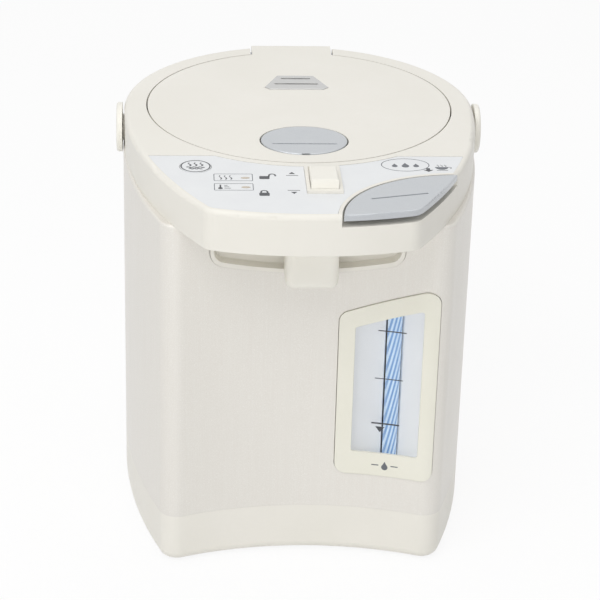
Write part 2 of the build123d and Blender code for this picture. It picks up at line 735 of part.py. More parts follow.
with BuildPart() as heater_plate:
    disc(HEATER_RADIUS, VESSEL_BOTTOM - HEATER_THICKNESS, VESSEL_BOTTOM)
    fillet(heater_plate.faces().sort_by(Axis.Z)[0].edges(), radius=1.5)
finish(heater_plate.part, "heater_plate")

BAND_INNER = VESSEL_RADIUS + VESSEL_WALL
with BuildPart() as band_heater:
    disc(BAND_INNER + BAND_THICKNESS, BAND_BOTTOM, BAND_BOTTOM + BAND_HEIGHT)
    disc(BAND_INNER, BAND_BOTTOM - HAIR, BAND_BOTTOM + BAND_HEIGHT + HAIR, mode=Mode.SUBTRACT)
    block((-BAND_SPLIT, BAND_SPLIT), (BAND_INNER - THROUGH, BAND_INNER + THROUGH),
          (BAND_BOTTOM - HAIR, BAND_BOTTOM + BAND_HEIGHT + HAIR), mode=Mode.SUBTRACT)
finish(band_heater.part, "band_heater")

THERMOSTAT_TOP = VESSEL_BOTTOM - HEATER_THICKNESS
THERMOSTAT_BOTTOM = THERMOSTAT_TOP - THERMOSTAT_HEIGHT
EAR_REACH = THERMOSTAT_RADIUS + THERMOSTAT_EAR
with BuildPart() as thermostat:
    disc(THERMOSTAT_RADIUS, THERMOSTAT_BOTTOM, THERMOSTAT_TOP)
    block((-EAR_REACH, EAR_REACH), (-THERMOSTAT_EAR / 2, THERMOSTAT_EAR / 2),
          (THERMOSTAT_BOTTOM, THERMOSTAT_BOTTOM + BAND_THICKNESS))
finish(thermostat.part, "thermostat")

with BuildPart() as heat_shield:
    disc(SHIELD_RADIUS, SHIELD_TOP - SHIELD_THICKNESS, SHIELD_TOP)
    disc(MOTOR_RADIUS + FIT, SHIELD_TOP - THROUGH, SHIELD_TOP + HAIR, PUMP_X, PUMP_Y, mode=Mode.SUBTRACT)
    discs(TIE_RADIUS + RUNNING, SHIELD_TOP - THROUGH, SHIELD_TOP + HAIR,
          round_places(TIE_CIRCLE, TIE_ANGLES), mode=Mode.SUBTRACT)
    block((SHIELD_HOLE_LEFT, SHIELD_HOLE_RIGHT), (-SHIELD_HOLE_HALF, SHIELD_HOLE_HALF),
          (SHIELD_TOP - THROUGH, SHIELD_TOP + HAIR), mode=Mode.SUBTRACT)
finish(heat_shield.part, "heat_shield")

POWER_BOARD_BOTTOM = POWER_BOARD_TOP - BOARD_THICKNESS
STANDOFFS = [(x, y)
             for x in (POWER_BOARD_LEFT + POWER_BOARD_MARGIN, POWER_BOARD_RIGHT - POWER_BOARD_MARGIN)
             for y in (POWER_BOARD_FRONT + POWER_BOARD_MARGIN, POWER_BOARD_BACK - POWER_BOARD_MARGIN)]
PARTS_LEFT = POWER_BOARD_LEFT + POWER_BOARD_MARGIN
PARTS_RIGHT = POWER_BOARD_RIGHT - POWER_BOARD_MARGIN
PARTS_FRONT = POWER_BOARD_FRONT + POWER_BOARD_MARGIN
PARTS_BACK = POWER_BOARD_BACK - POWER_BOARD_MARGIN
CAPACITOR_X = PARTS_LEFT + CAPACITOR_RADIUS
CAPACITOR_Y = PARTS_BACK - CAPACITOR_RADIUS
with BuildPart() as power_board:
    block((POWER_BOARD_LEFT, POWER_BOARD_RIGHT), (POWER_BOARD_FRONT, POWER_BOARD_BACK),
          (POWER_BOARD_BOTTOM, POWER_BOARD_TOP))
    discs(POST_RADIUS - 1, PLATE_TOP, POWER_BOARD_BOTTOM, STANDOFFS)
    # a transformer, a relay and two capacitors
    block((PARTS_LEFT, PARTS_LEFT + TRANSFORMER_SIZE), (PARTS_FRONT, PARTS_FRONT + TRANSFORMER_SIZE),
          (POWER_BOARD_TOP, POWER_BOARD_TOP + TRANSFORMER_HEIGHT))
    block((PARTS_RIGHT - RELAY_WIDTH, PARTS_RIGHT), (PARTS_BACK - RELAY_LENGTH, PARTS_BACK),
          (POWER_BOARD_TOP, POWER_BOARD_TOP + RELAY_HEIGHT))
    discs(CAPACITOR_RADIUS, POWER_BOARD_TOP, POWER_BOARD_TOP + CAPACITOR_HEIGHT,
          [(CAPACITOR_X, CAPACITOR_Y), (CAPACITOR_X, CAPACITOR_Y - 3 * CAPACITOR_RADIUS)])
finish(power_board.part, "power_board")

# ---------------------------------------------------------------- pump and plumbing
OUTLET_Z = PUMP_BOTTOM + OUTLET_RISE + PORT_RADIUS - 1.5
PUMP_TO_GAUGE = Vector(GAUGE_X - PUMP_X, GAUGE_Y - PUMP_Y)
OUTLET_DIRECTION = PUMP_TO_GAUGE.normalized()
OUTLET_START = Vector(PUMP_X, PUMP_Y, OUTLET_Z) + OUTLET_DIRECTION * (PUMP_RADIUS - PUMP_WALL)
PORT_LENGTH = 12.0
with BuildPart() as pump_housing:
    disc(PUMP_RADIUS, PUMP_BOTTOM, PUMP_TOP, PUMP_X, PUMP_Y)
    disc(PORT_RADIUS, PUMP_TOP - PUMP_WALL, VESSEL_BOTTOM - 6, PUMP_X, PUMP_Y)
    with BuildSketch(Plane(origin=OUTLET_START, z_dir=OUTLET_DIRECTION)):
        Circle(PORT_RADIUS)
    extrude(amount=PORT_LENGTH)
    disc(IMPELLER_RADIUS + 1, PUMP_BOTTOM + PUMP_WALL, PUMP_TOP - PUMP_WALL, PUMP_X, PUMP_Y,
         mode=Mode.SUBTRACT)
    disc(PORT_RADIUS - PORT_WALL, PUMP_TOP - PUMP_WALL - HAIR, PUMP_TOP + 20, PUMP_X, PUMP_Y,
         mode=Mode.SUBTRACT)
    disc(SHAFT_RADIUS + RUNNING, PUMP_BOTTOM - HAIR, PUMP_BOTTOM + PUMP_WALL + HAIR, PUMP_X, PUMP_Y,
         mode=Mode.SUBTRACT)
    with BuildSketch(Plane(origin=OUTLET_START - OUTLET_DIRECTION * 4, z_dir=OUTLET_DIRECTION)):
        Circle(PORT_RADIUS - PORT_WALL)
    extrude(amount=PORT_LENGTH + 6, mode=Mode.SUBTRACT)
finish(pump_housing.part, "pump_housing")

IMPELLER_GAP = 0.8
IMPELLER_BOTTOM = PUMP_BOTTOM + PUMP_WALL + IMPELLER_GAP
IMPELLER_TOP = PUMP_TOP - PUMP_WALL - IMPELLER_GAP
with BuildPart() as pump_impeller:
    disc(IMPELLER_RADIUS, IMPELLER_BOTTOM, IMPELLER_BOTTOM + 1.5, PUMP_X, PUMP_Y)
    disc(SHAFT_RADIUS * 2, IMPELLER_BOTTOM, IMPELLER_TOP, PUMP_X, PUMP_Y)
    with BuildSketch(Plane.XY.offset(IMPELLER_BOTTOM)):
        with Locations((PUMP_X, PUMP_Y)):
            with PolarLocations(IMPELLER_RADIUS / 2 + 1, IMPELLER_BLADES):
                Rectangle(IMPELLER_RADIUS - 2.5, 1.2)
    extrude(amount=IMPELLER_TOP - IMPELLER_BOTTOM)
    # the shaft that reaches down into the motor
    disc(SHAFT_RADIUS, PUMP_BOTTOM - 4, IMPELLER_TOP, PUMP_X, PUMP_Y)
finish(pump_impeller.part, "pump_impeller")

with BuildPart() as pump_motor:
    disc(MOTOR_RADIUS, PUMP_BOTTOM - MOTOR_LENGTH, PUMP_BOTTOM, PUMP_X, PUMP_Y)
    fillet(pump_motor.faces().sort_by(Axis.Z)[0].edges(), radius=1.5)
    disc(SHAFT_RADIUS + RUNNING, PUMP_BOTTOM - 5, PUMP_BOTTOM + HAIR, PUMP_X, PUMP_Y, mode=Mode.SUBTRACT)
finish(pump_motor.part, "pump_motor")

with BuildPart() as inlet_sleeve:
    disc(PORT_RADIUS + HOSE_WALL, PUMP_TOP + 1, VESSEL_BOTTOM - 1, PUMP_X, PUMP_Y)
    disc(PORT_RADIUS + RUNNING, PUMP_TOP, VESSEL_BOTTOM + HAIR, PUMP_X, PUMP_Y, mode=Mode.SUBTRACT)
finish(inlet_sleeve.part, "inlet_sleeve")

TRAY_INSET = 1.5
TRAY_BOTTOM = WINDOW_BOTTOM + TRAY_INSET
HOSE_START = OUTLET_START + OUTLET_DIRECTION * PUMP_WALL * 2
with BuildPart() as riser_hose:
    hose([HOSE_START, Vector(GAUGE_X, GAUGE_Y, OUTLET_Z), Vector(GAUGE_X, GAUGE_Y, TRAY_BOTTOM - FIT)])
finish(riser_hose.part, "riser_hose")

with BuildPart() as gauge_tube:
    disc(GAUGE_RADIUS, TRAY_BOTTOM, GAUGE_TOP, GAUGE_X, GAUGE_Y)
    disc(PORT_RADIUS, TRAY_BOTTOM - PORT_WALL, GAUGE_TOP + GAUGE_SPIGOT, GAUGE_X, GAUGE_Y)
    disc(PORT_RADIUS - PORT_WALL, TRAY_BOTTOM - THROUGH, GAUGE_TOP + GAUGE_SPIGOT + HAIR, GAUGE_X, GAUGE_Y,
         mode=Mode.SUBTRACT)
    disc(GAUGE_RADIUS - GAUGE_WALL, TRAY_BOTTOM + GAUGE_WALL, GAUGE_TOP - GAUGE_WALL, GAUGE_X, GAUGE_Y,
         mode=Mode.SUBTRACT)
finish(gauge_tube.part, "gauge_tube")

SPOUT_MID = (SPOUT_FRONT + SPOUT_BACK) / 2
DELIVERY_Z = SEAT_RING_TOP + SPOUT_LIP + PORT_RADIUS + HOSE_WALL + HAIR
TUBE_TOP = DELIVERY_Z - HOSE_BEND - 1.5
HOSE_BACK_Y = HOSE_SETBACK - BODY_FRONT
with BuildPart() as delivery_hose:
    hose([Vector(GAUGE_X, GAUGE_Y, GAUGE_TOP + FIT), Vector(GAUGE_X, GAUGE_Y, GAUGE_TOP + 12),
          Vector(GAUGE_X, HOSE_BACK_Y, GAUGE_TOP + 28), Vector(GAUGE_X, HOSE_BACK_Y, DELIVERY_Z),
          Vector(SPOUT_X, SPOUT_MID, DELIVERY_Z), Vector(SPOUT_X, SPOUT_MID, TUBE_TOP - HOSE_GRIP)])
finish(delivery_hose.part, "delivery_hose")

with BuildPart() as outlet_tube:
    disc(PORT_RADIUS, SPOUT_BOTTOM + FIT, TUBE_TOP, SPOUT_X, SPOUT_MID)
    # the collar that rests on the floor of the spout cover
    disc(PORT_RADIUS + 2, SPOUT_BOTTOM + SPOUT_WALL, SPOUT_BOTTOM + 2 * SPOUT_WALL, SPOUT_X, SPOUT_MID)
    disc(PORT_RADIUS - PORT_WALL, SPOUT_BOTTOM, TUBE_TOP + HAIR, SPOUT_X, SPOUT_MID, mode=Mode.SUBTRACT)
finish(outlet_tube.part, "outlet_tube")

# ---------------------------------------------------------------- level window
with BuildPart() as pane_seat:
    wall_layer(PANE_SINK, WINDOW_FRAME + HAIR, WINDOW_BOTTOM - THROUGH, WINDOW_HIGH)
    front_cut(pane_outline, -PANE_LEDGE, CUT_BACK, Mode.INTERSECT)
with BuildPart() as window_frame:
    wall_layer(-WINDOW_PROUD, WINDOW_FRAME, WINDOW_BOTTOM - THROUGH, WINDOW_HIGH)
    front_cut(window_outline, 0, CUT_BACK, Mode.INTERSECT)
    front_cut(pane_outline, 0, CUT_BACK, Mode.SUBTRACT)
    add(pane_seat.part, mode=Mode.SUBTRACT)
finish(window_frame.part, "window_frame")

with BuildPart() as window_pane:
    wall_layer(PANE_SINK, PANE_SINK + PANE_THICKNESS, WINDOW_BOTTOM - THROUGH, WINDOW_HIGH)
    front_cut(pane_outline, FIT - PANE_LEDGE, CUT_BACK, Mode.INTERSECT)
finish(window_pane.part, "window_pane")

with BuildPart() as gauge_tray:
    prism(body_plan, WINDOW_FRAME, WINDOW_BOTTOM - THROUGH, WINDOW_HIGH)
    front_cut(window_outline, TRAY_INSET, TRAY_BACK, Mode.INTERSECT)
    front_cut(window_outline, TRAY_INSET + TRAY_WALL, TRAY_BACK - TRAY_WALL, Mode.SUBTRACT)
    disc(GAUGE_RADIUS + RUNNING, WINDOW_BOTTOM - THROUGH, WINDOW_HIGH, GAUGE_X, GAUGE_Y, mode=Mode.SUBTRACT)
finish(gauge_tray.part, "gauge_tray")

# ---------------------------------------------------------------- neck recess and spout
NECK_LOW = NECK_END - NECK_SAG - THROUGH
with BuildPart() as neck_space:
    wall_layer(-THROUGH, NECK_DEPTH, NECK_LOW, HEAD_BOTTOM)
    front_cut(neck_outline, NECK_RIM, CUT_BACK, Mode.INTERSECT)
with BuildPart() as neck_bezel:
    wall_layer(-NECK_PROUD, NECK_DEPTH + NECK_WALL, NECK_LOW, HEAD_BOTTOM)
    front_cut(neck_outline, 0, CUT_BACK, Mode.INTERSECT)
    add(neck_space.part, mode=Mode.SUBTRACT)
finish(neck_bezel.part, "neck_bezel")

SPOUT_SIDES = (SPOUT_X - SPOUT_WIDTH / 2, SPOUT_X + SPOUT_WIDTH / 2)
SPOUT_ENDS = (SPOUT_FRONT, SPOUT_BACK)


SEAT_INNER = 9.5
RING_INSET = 2.0
UNDERSIDE_BACK = UNDERSIDE_LAP - BODY_FRONT
with BuildPart() as head_underside:
    prism(head_plan, HEAD_WALL + FIT / 2, HEAD_BOTTOM, SEAT_RING_TOP)
    prism(body_plan, RING_INSET - FIT - HAIR, HEAD_BOTTOM - HAIR, SEAT_RING_TOP + HAIR, mode=Mode.SUBTRACT)
    block((-HEAD_RADIUS, HEAD_RADIUS), (-HEAD_FRONT, UNDERSIDE_BACK), (HEAD_BOTTOM, SEAT_RING_TOP),
          mode=Mode.INTERSECT)
    block(grown(SPOUT_SIDES, FIT), grown(SPOUT_ENDS, FIT), (HEAD_BOTTOM - HAIR, SEAT_RING_TOP + HAIR),
          mode=Mode.SUBTRACT)
finish(head_underside.part, "head_underside")

with BuildPart() as spout_space:
    block(grown(SPOUT_SIDES, -SPOUT_WALL), grown(SPOUT_ENDS, -SPOUT_WALL),
          (SPOUT_BOTTOM + SPOUT_WALL, SEAT_RING_TOP + SPOUT_LIP + HAIR))
    fillet(spout_space.edges().filter_by(Axis.Z), radius=SPOUT_CORNER - SPOUT_WALL)
    fillet(spout_space.faces().sort_by(Axis.Z)[0].edges(), radius=SPOUT_ROUND - SPOUT_WALL)
with BuildPart() as spout_cover:
    block(SPOUT_SIDES, SPOUT_ENDS, (SPOUT_BOTTOM, SEAT_RING_TOP + SPOUT_LIP))
    fillet(spout_cover.edges().filter_by(Axis.Z), radius=SPOUT_CORNER)
    fillet(spout_cover.faces().sort_by(Axis.Z)[0].edges(), radius=SPOUT_ROUND)
    block(grown(SPOUT_SIDES, SPOUT_FLANGE), SPOUT_ENDS, (SEAT_RING_TOP, SEAT_RING_TOP + SPOUT_LIP))
    add(spout_space.part, mode=Mode.SUBTRACT)
    disc(PORT_RADIUS + RUNNING, SPOUT_BOTTOM - HAIR, SPOUT_BOTTOM + THROUGH, SPOUT_X, SPOUT_MID,
         mode=Mode.SUBTRACT)
finish(spout_cover.part, "spout_cover")

# ---------------------------------------------------------------- head housing
SLOT_FLOOR = HINGE_Z - 12.0
SLOT_FRONT = LID_RADIUS - 2.9
SEAT_BOTTOM = LID_SEAT - SEAT_THICKNESS
FUNNEL_BOTTOM = LID_SEAT - FUNNEL_DEPTH
LABEL_FLOOR = HEAD_TOP - LABEL_DEPTH
REBOIL_WELL = HEAD_TOP - 2 * LABEL_DEPTH - REBOIL_TRAVEL / 2
REBOIL_STEM_RADIUS = 3.0
KNOB_BACK = KNOB_FRONT + KNOB_LENGTH
STEM_FRONT = KNOB_FRONT + (KNOB_LENGTH - LOCK_STEM_LENGTH) / 2
STEM_BACK = STEM_FRONT + LOCK_STEM_LENGTH
BOARD_FRONT = BOARD_SETBACK - HEAD_FRONT
BOARD_BACK = BOARD_FRONT + BOARD_DEPTH
BOARD_POSTS = [
    (BOARD_LEFT + BOARD_MARGIN, BOARD_BACK - 2 * BOARD_MARGIN),
    (BOARD_LEFT + BOARD_CHAMFER_WIDTH + BOARD_MARGIN, BOARD_FRONT + BOARD_MARGIN),
    (BOARD_RIGHT - BOARD_MARGIN, BOARD_FRONT + BOARD_MARGIN),
    (BOARD_RIGHT - 2 * BOARD_MARGIN, BOARD_BACK - BOARD_STEP - BOARD_MARGIN),
]
POST_DEPTH = 5.0

with BuildPart() as seat_ring:
    prism(head_plan, HEAD_WALL / 2, HEAD_BOTTOM, SEAT_RING_TOP)
    prism(body_plan, RING_INSET, HEAD_BOTTOM, SEAT_RING_TOP, mode=Mode.INTERSECT)
    prism(body_plan, SEAT_INNER, HEAD_BOTTOM - HAIR, SEAT_RING_TOP + HAIR, mode=Mode.SUBTRACT)
with BuildPart() as spigot:
    wall_layer(SHELL_OPENING + FIT, SEAT_INNER, HEAD_BOTTOM - THROUGH, HEAD_BOTTOM + HAIR)
    block(grown((-NECK_HALF_WIDTH, NECK_HALF_WIDTH), 2 * FIT), (-BODY_FRONT - BODY_RADIUS, -BODY_FRONT / 2),
          (HEAD_BOTTOM - 2 * THROUGH, HEAD_BOTTOM + THROUGH), mode=Mode.SUBTRACT)
with BuildPart() as hinge_box:
    prism(head_plan, HEAD_WALL / 2, SLOT_FLOOR - HEAD_WALL, CAVITY_TOP + HAIR)
    block(grown((-SLOT_HALF_WIDTH, SLOT_HALF_WIDTH), EAR_WIDTH), (SLOT_FRONT, HEAD_RADIUS),
          (SLOT_FLOOR - HEAD_WALL, CAVITY_TOP + HAIR), mode=Mode.INTERSECT)

with BuildPart() as head_housing:
    prism(head_plan, 0, HEAD_BOTTOM, HEAD_TOP)
    fillet(head_housing.faces().sort_by(Axis.Z)[-1].edges(), radius=HEAD_EDGE)
    prism(head_plan, HEAD_WALL, HEAD_BOTTOM - HAIR, CAVITY_TOP, mode=Mode.SUBTRACT)
    add(seat_ring.part)
    add(spigot.part)
    add(hinge_box.part)
    # the lid's bore, its seat and the funnel that clamps the vessel
    disc(FUNNEL_OUTER, SEAT_BOTTOM, CAVITY_TOP + HAIR)
    disc(NECK_RING_OUTER, FUNNEL_BOTTOM, LID_SEAT)
    discs(TIE_BOSS_RADIUS, FUNNEL_BOTTOM, SEAT_BOTTOM + HAIR, round_places(TIE_CIRCLE, TIE_ANGLES))
    disc(LID_BORE, LID_SEAT, HEAD_TOP + HAIR, mode=Mode.SUBTRACT)
    disc(MOUTH_RADIUS, FUNNEL_BOTTOM - HAIR, LID_SEAT + HAIR, mode=Mode.SUBTRACT)
    discs(TIE_RADIUS + RUNNING, FUNNEL_BOTTOM - HAIR, SEAT_BOTTOM - 1, round_places(TIE_CIRCLE, TIE_ANGLES),
          mode=Mode.SUBTRACT)
    # the slot of the lid's tab and the bores of its pin
    block((-SLOT_HALF_WIDTH, SLOT_HALF_WIDTH), (SLOT_FRONT, HEAD_RADIUS + THROUGH),
          (SLOT_FLOOR, HEAD_TOP + HAIR), mode=Mode.SUBTRACT)
    cross_rod(HINGE_PIN_RADIUS, -SLOT_HALF_WIDTH - EAR_WIDTH + 1, SLOT_HALF_WIDTH + EAR_WIDTH - 1,
              HINGE_Y, HINGE_Z, mode=Mode.SUBTRACT)
    # the catch of the lid's bolt
    block(grown((-BOLT_HALF_WIDTH, BOLT_HALF_WIDTH), 1), (-LID_BORE - CATCH_DEPTH, -LID_BORE + 1),
          (BOLT_BOTTOM - 1, BOLT_TOP + 1), mode=Mode.SUBTRACT)
    # the well of the dispense key
    prism(tray_plan, 0, KEY_FLOOR - KEY_TRAY, CAVITY_TOP + HAIR)
    prism(well_plan, 0, KEY_FLOOR, HEAD_TOP + THROUGH, mode=Mode.SUBTRACT)
    disc(KEY_STEM_RADIUS + FIT, KEY_FLOOR - 2 * KEY_TRAY, KEY_FLOOR + HAIR, KEY_STEM_X, KEY_STEM_Y,
         mode=Mode.SUBTRACT)
    # the recess of the label, the reboil button, the lamps and the lock slider
    prism(label_plan, 0, LABEL_FLOOR, HEAD_TOP + HAIR, mode=Mode.SUBTRACT)
    disc(REBOIL_RADIUS + FIT, REBOIL_WELL, HEAD_TOP + HAIR, REBOIL_X, REBOIL_Y, mode=Mode.SUBTRACT)
    disc(REBOIL_STEM_RADIUS + FIT, CAVITY_TOP - HAIR, HEAD_TOP, REBOIL_X, REBOIL_Y, mode=Mode.SUBTRACT)
    for lamp_y in LAMP_Y:
        ellipse_disc(LAMP_HALF_LENGTH, LAMP_HALF_WIDTH, CAVITY_TOP - HAIR, HEAD_TOP, LAMP_X, lamp_y,
                     mode=Mode.SUBTRACT)
    block(grown((LOCK_X - LOCK_STEM_WIDTH / 2, LOCK_X + LOCK_STEM_WIDTH / 2), FIT),
          (STEM_FRONT - FIT, STEM_BACK + LOCK_TRAVEL + FIT), (CAVITY_TOP - HAIR, HEAD_TOP),
          mode=Mode.SUBTRACT)
    # the posts of the control board
    discs(BOARD_POST_RADIUS, BOARD_TOP, CAVITY_TOP + HAIR, BOARD_POSTS)
    discs(BOARD_SCREW_RADIUS, BOARD_TOP - HAIR, BOARD_TOP + POST_DEPTH, BOARD_POSTS, mode=Mode.SUBTRACT)
    # the pads and holes of the handle's pivots
    for side in (-1, 1):
        ends = sorted((side * (HEAD_RADIUS - HEAD_WALL / 2), side * (HUB_FACE - FIT)))
        cross_rod(2 * PIVOT_RADIUS, ends[0], ends[1], PIVOT_Y, PIVOT_Z)
        ends = sorted((side * (HEAD_RADIUS - 2 * HEAD_WALL), side * HUB_FACE))
        cross_rod(PIVOT_RADIUS, ends[0], ends[1], PIVOT_Y, PIVOT_Z, mode=Mode.SUBTRACT)
finish(head_housing.part, "head_housing")

NUT_HEIGHT = 3.0
with BuildPart() as tie_rods:
    discs(TIE_RADIUS, POST_TOP - NUT_HEIGHT - 1, SEAT_BOTTOM - 2, round_places(TIE_CIRCLE, TIE_ANGLES))
    with BuildSketch(Plane.XY.offset(POST_TOP - NUT_HEIGHT)) as nuts:
        with Locations(*round_places(TIE_CIRCLE, TIE_ANGLES)):
            RegularPolygon(2 * TIE_RADIUS, side_count=6)
    extrude(amount=NUT_HEIGHT)
finish(tie_rods.part, "tie_rods")

PIN_END = SLOT_HALF_WIDTH + EAR_WIDTH - 1
with BuildPart() as hinge_pin:
    cross_rod(HINGE_PIN_RADIUS, -PIN_END, PIN_END, HINGE_Y, HINGE_Z)
finish(hinge_pin.part, "hinge_pin")

# ---------------------------------------------------------------- lid
LID_UNDER = HEAD_TOP - LID_PLATE
GASKET_BOTTOM = LID_SEAT + HAIR
GASKET_TOP = GASKET_BOTTOM + GASKET_THICKNESS
SKIRT_BOTTOM = GASKET_TOP + INNER_LID_WALL
TAB_BOTTOM = HEAD_TOP - TAB_THICKNESS
TAB_FRONT = LID_RADIUS - 12.0
TAB_EDGE = 2.5
POCKET_RIM = 1.5
RAIL_WIDTH = 2.0
BOLT_BACK = LATCH_TIP + BOLT_LENGTH
VENT_FLOOR = HEAD_TOP - VENT_THICKNESS + VENT_PROUD
LUG_INNER = LEVER_KNUCKLE_WIDTH + LEVER_SPRING_TURNS * LEVER_SPRING_WIRE + 1.0 + FIT
LUG_OUTER = LUG_INNER + LEVER_LUG
KNUCKLE_INNER = LUG_INNER - FIT - LEVER_KNUCKLE_WIDTH

# The toe under the lever: an arc about the hinge whose back face closes in on it, so that
# the rising toe draws the bolt back by its travel
TOE_SIDES = (-TOE_HALF_WIDTH, TOE_HALF_WIDTH)
TOE_DROP = LEVER_HINGE_Z - BOLT_BOTTOM
TOE_BACK = LEVER_HINGE_Y - sqrt(TOE_REACH**2 - TOE_DROP**2)
TOE_END_REACH = hypot(TOE_BACK + BOLT_TRAVEL - LEVER_HINGE_Y, TOE_DROP)
TOE_ROOT = LEVER_TOP - LEVER_THICKNESS / 2 - LEVER_HINGE_Z
TOE_ROOT_ANGLE = degrees(asin(TOE_ROOT / (TOE_REACH + TOE_THICKNESS)))
TOE_START_ANGLE = degrees(asin(TOE_DROP / TOE_REACH))
TOE_END_ANGLE = degrees(asin(TOE_DROP / TOE_END_REACH)) + LEVER_SWING


def toe_point(reach, angle):
    """A point in the YZ plane, at a reach from the lever's hinge and an angle below level."""
    return (LEVER_HINGE_Y - reach * cos(radians(angle)), LEVER_HINGE_Z - reach * sin(radians(angle)))

with BuildPart() as lid_cover:
    disc(LID_RADIUS, SKIRT_BOTTOM, HEAD_TOP)
    disc(LID_RADIUS - LID_SKIRT, SKIRT_BOTTOM - HAIR, LID_UNDER, mode=Mode.SUBTRACT)
    block((-TAB_HALF_WIDTH, TAB_HALF_WIDTH), (TAB_FRONT, TAB_REACH), (TAB_BOTTOM, HEAD_TOP))
    tab_ends = lid_cover.faces().sort_by(Axis.Y)[-1].edges()
    fillet(tab_ends.filter_by(Axis.X), radius=TAB_EDGE)
    cross_rod(HINGE_PIN_RADIUS + RUNNING, -SLOT_HALF_WIDTH, SLOT_HALF_WIDTH, HINGE_Y, HINGE_Z,
              mode=Mode.SUBTRACT)
    # the guides of the bolt, its slot in the skirt and the slot of its horn
    for side in (-1, 1):
        rail = sorted((side * (BOLT_HALF_WIDTH + FIT), side * (BOLT_HALF_WIDTH + FIT + RAIL_WIDTH)))
        block(rail, (-LID_RADIUS + LID_SKIRT + 1, BOLT_BACK), (BOLT_BOTTOM, LID_UNDER + HAIR))
    block(grown((-BOLT_HALF_WIDTH, BOLT_HALF_WIDTH), FIT), (-LID_RADIUS - 1, -LID_RADIUS + LID_SKIRT + 1),
          (BOLT_BOTTOM - FIT, BOLT_TOP + FIT), mode=Mode.SUBTRACT)
    # the pocket of the lever, with the lugs of its pin
    ellipse_disc(LEVER_HALF_WIDTH + LEVER_GAP + POCKET_RIM, LEVER_HALF_DEPTH + LEVER_GAP + POCKET_RIM,
                 LEVER_FLOOR - POCKET_RIM, LID_UNDER + HAIR, 0, LEVER_Y)
    ellipse_disc(LEVER_HALF_WIDTH + LEVER_GAP, LEVER_HALF_DEPTH + LEVER_GAP,
                 LEVER_FLOOR, HEAD_TOP + HAIR, 0, LEVER_Y, mode=Mode.SUBTRACT)
    for side in (-1, 1):
        lug = sorted((side * LUG_INNER, side * LUG_OUTER))
        block(lug, (LEVER_HINGE_Y - LEVER_KNUCKLE, LEVER_HINGE_Y + LEVER_KNUCKLE),
              (LEVER_FLOOR - HAIR, LEVER_HINGE_Z + 1.5))
    cross_rod(LEVER_PIN_RADIUS, -LUG_OUTER, LUG_OUTER, LEVER_HINGE_Y, LEVER_HINGE_Z, mode=Mode.SUBTRACT)
    block(grown(TOE_SIDES, FIT),
          (LEVER_HINGE_Y - TOE_REACH - TOE_THICKNESS - 2 * FIT, TOE_BACK + BOLT_TRAVEL),
          (LEVER_FLOOR - 2 * POCKET_RIM, LEVER_FLOOR + HAIR), mode=Mode.SUBTRACT)
    # the seat of the steam vent and the way up through it
    prism(vent_plan, -FIT / 2, VENT_FLOOR, HEAD_TOP + HAIR, mode=Mode.SUBTRACT)
    disc(DUCT_RADIUS - DUCT_WALL, LID_UNDER - HAIR, HEAD_TOP, 0, VENT_Y, mode=Mode.SUBTRACT)
finish(lid_cover.part, "lid_cover")

PLUG_RADIUS = MOUTH_RADIUS - PLUG_GAP
PLUG_BOTTOM = GASKET_TOP - INNER_LID_DEPTH
STEAM_HOLE = 5.0
with BuildPart() as inner_lid:
    disc(LID_RADIUS - LID_SKIRT / 4, GASKET_TOP, SKIRT_BOTTOM)
    disc(PLUG_RADIUS, PLUG_BOTTOM, GASKET_TOP + HAIR)
    fillet(inner_lid.faces().sort_by(Axis.Z)[0].edges(), radius=3.0)
    disc(PLUG_RADIUS - INNER_LID_WALL, PLUG_BOTTOM + INNER_LID_WALL, SKIRT_BOTTOM + HAIR, mode=Mode.SUBTRACT)
    disc(STEAM_HOLE, PLUG_BOTTOM - HAIR, PLUG_BOTTOM + THROUGH, 0, VENT_Y, mode=Mode.SUBTRACT)
finish(inner_lid.part, "inner_lid")

with BuildPart() as lid_gasket:
    disc(PLUG_RADIUS + 1.5 + GASKET_WIDTH, GASKET_BOTTOM, GASKET_TOP)
    disc(PLUG_RADIUS + 1.5, GASKET_BOTTOM - HAIR, GASKET_TOP + HAIR, mode=Mode.SUBTRACT)
finish(lid_gasket.part, "lid_gasket")

with BuildPart() as steam_duct:
    disc(DUCT_RADIUS, PLUG_BOTTOM + INNER_LID_WALL, LID_UNDER, 0, VENT_Y)
    disc(DUCT_RADIUS - DUCT_WALL, PLUG_BOTTOM, HEAD_TOP, 0, VENT_Y, mode=Mode.SUBTRACT)
finish(steam_duct.part, "steam_duct")

SLOT_ROWS = ((VENT_Y - 3.0, 13.8), (VENT_Y + 6.5, 9.4))
with BuildPart() as steam_vent:
    prism(vent_plan, 0, VENT_FLOOR, HEAD_TOP + VENT_PROUD)
    fillet(steam_vent.edges().filter_by(Axis.Z), radius=1.2)
    fillet(steam_vent.faces().sort_by(Axis.Z)[-1].edges(), radius=0.4)
    with BuildSketch(Plane.XY.offset(VENT_FLOOR - HAIR)):
        for row_y, half_length in SLOT_ROWS:
            with Locations((0, row_y)):
                SlotOverall(2 * half_length, 2.0)
    extrude(amount=2 * VENT_THICKNESS, mode=Mode.SUBTRACT)
finish(steam_vent.part, "steam_vent")

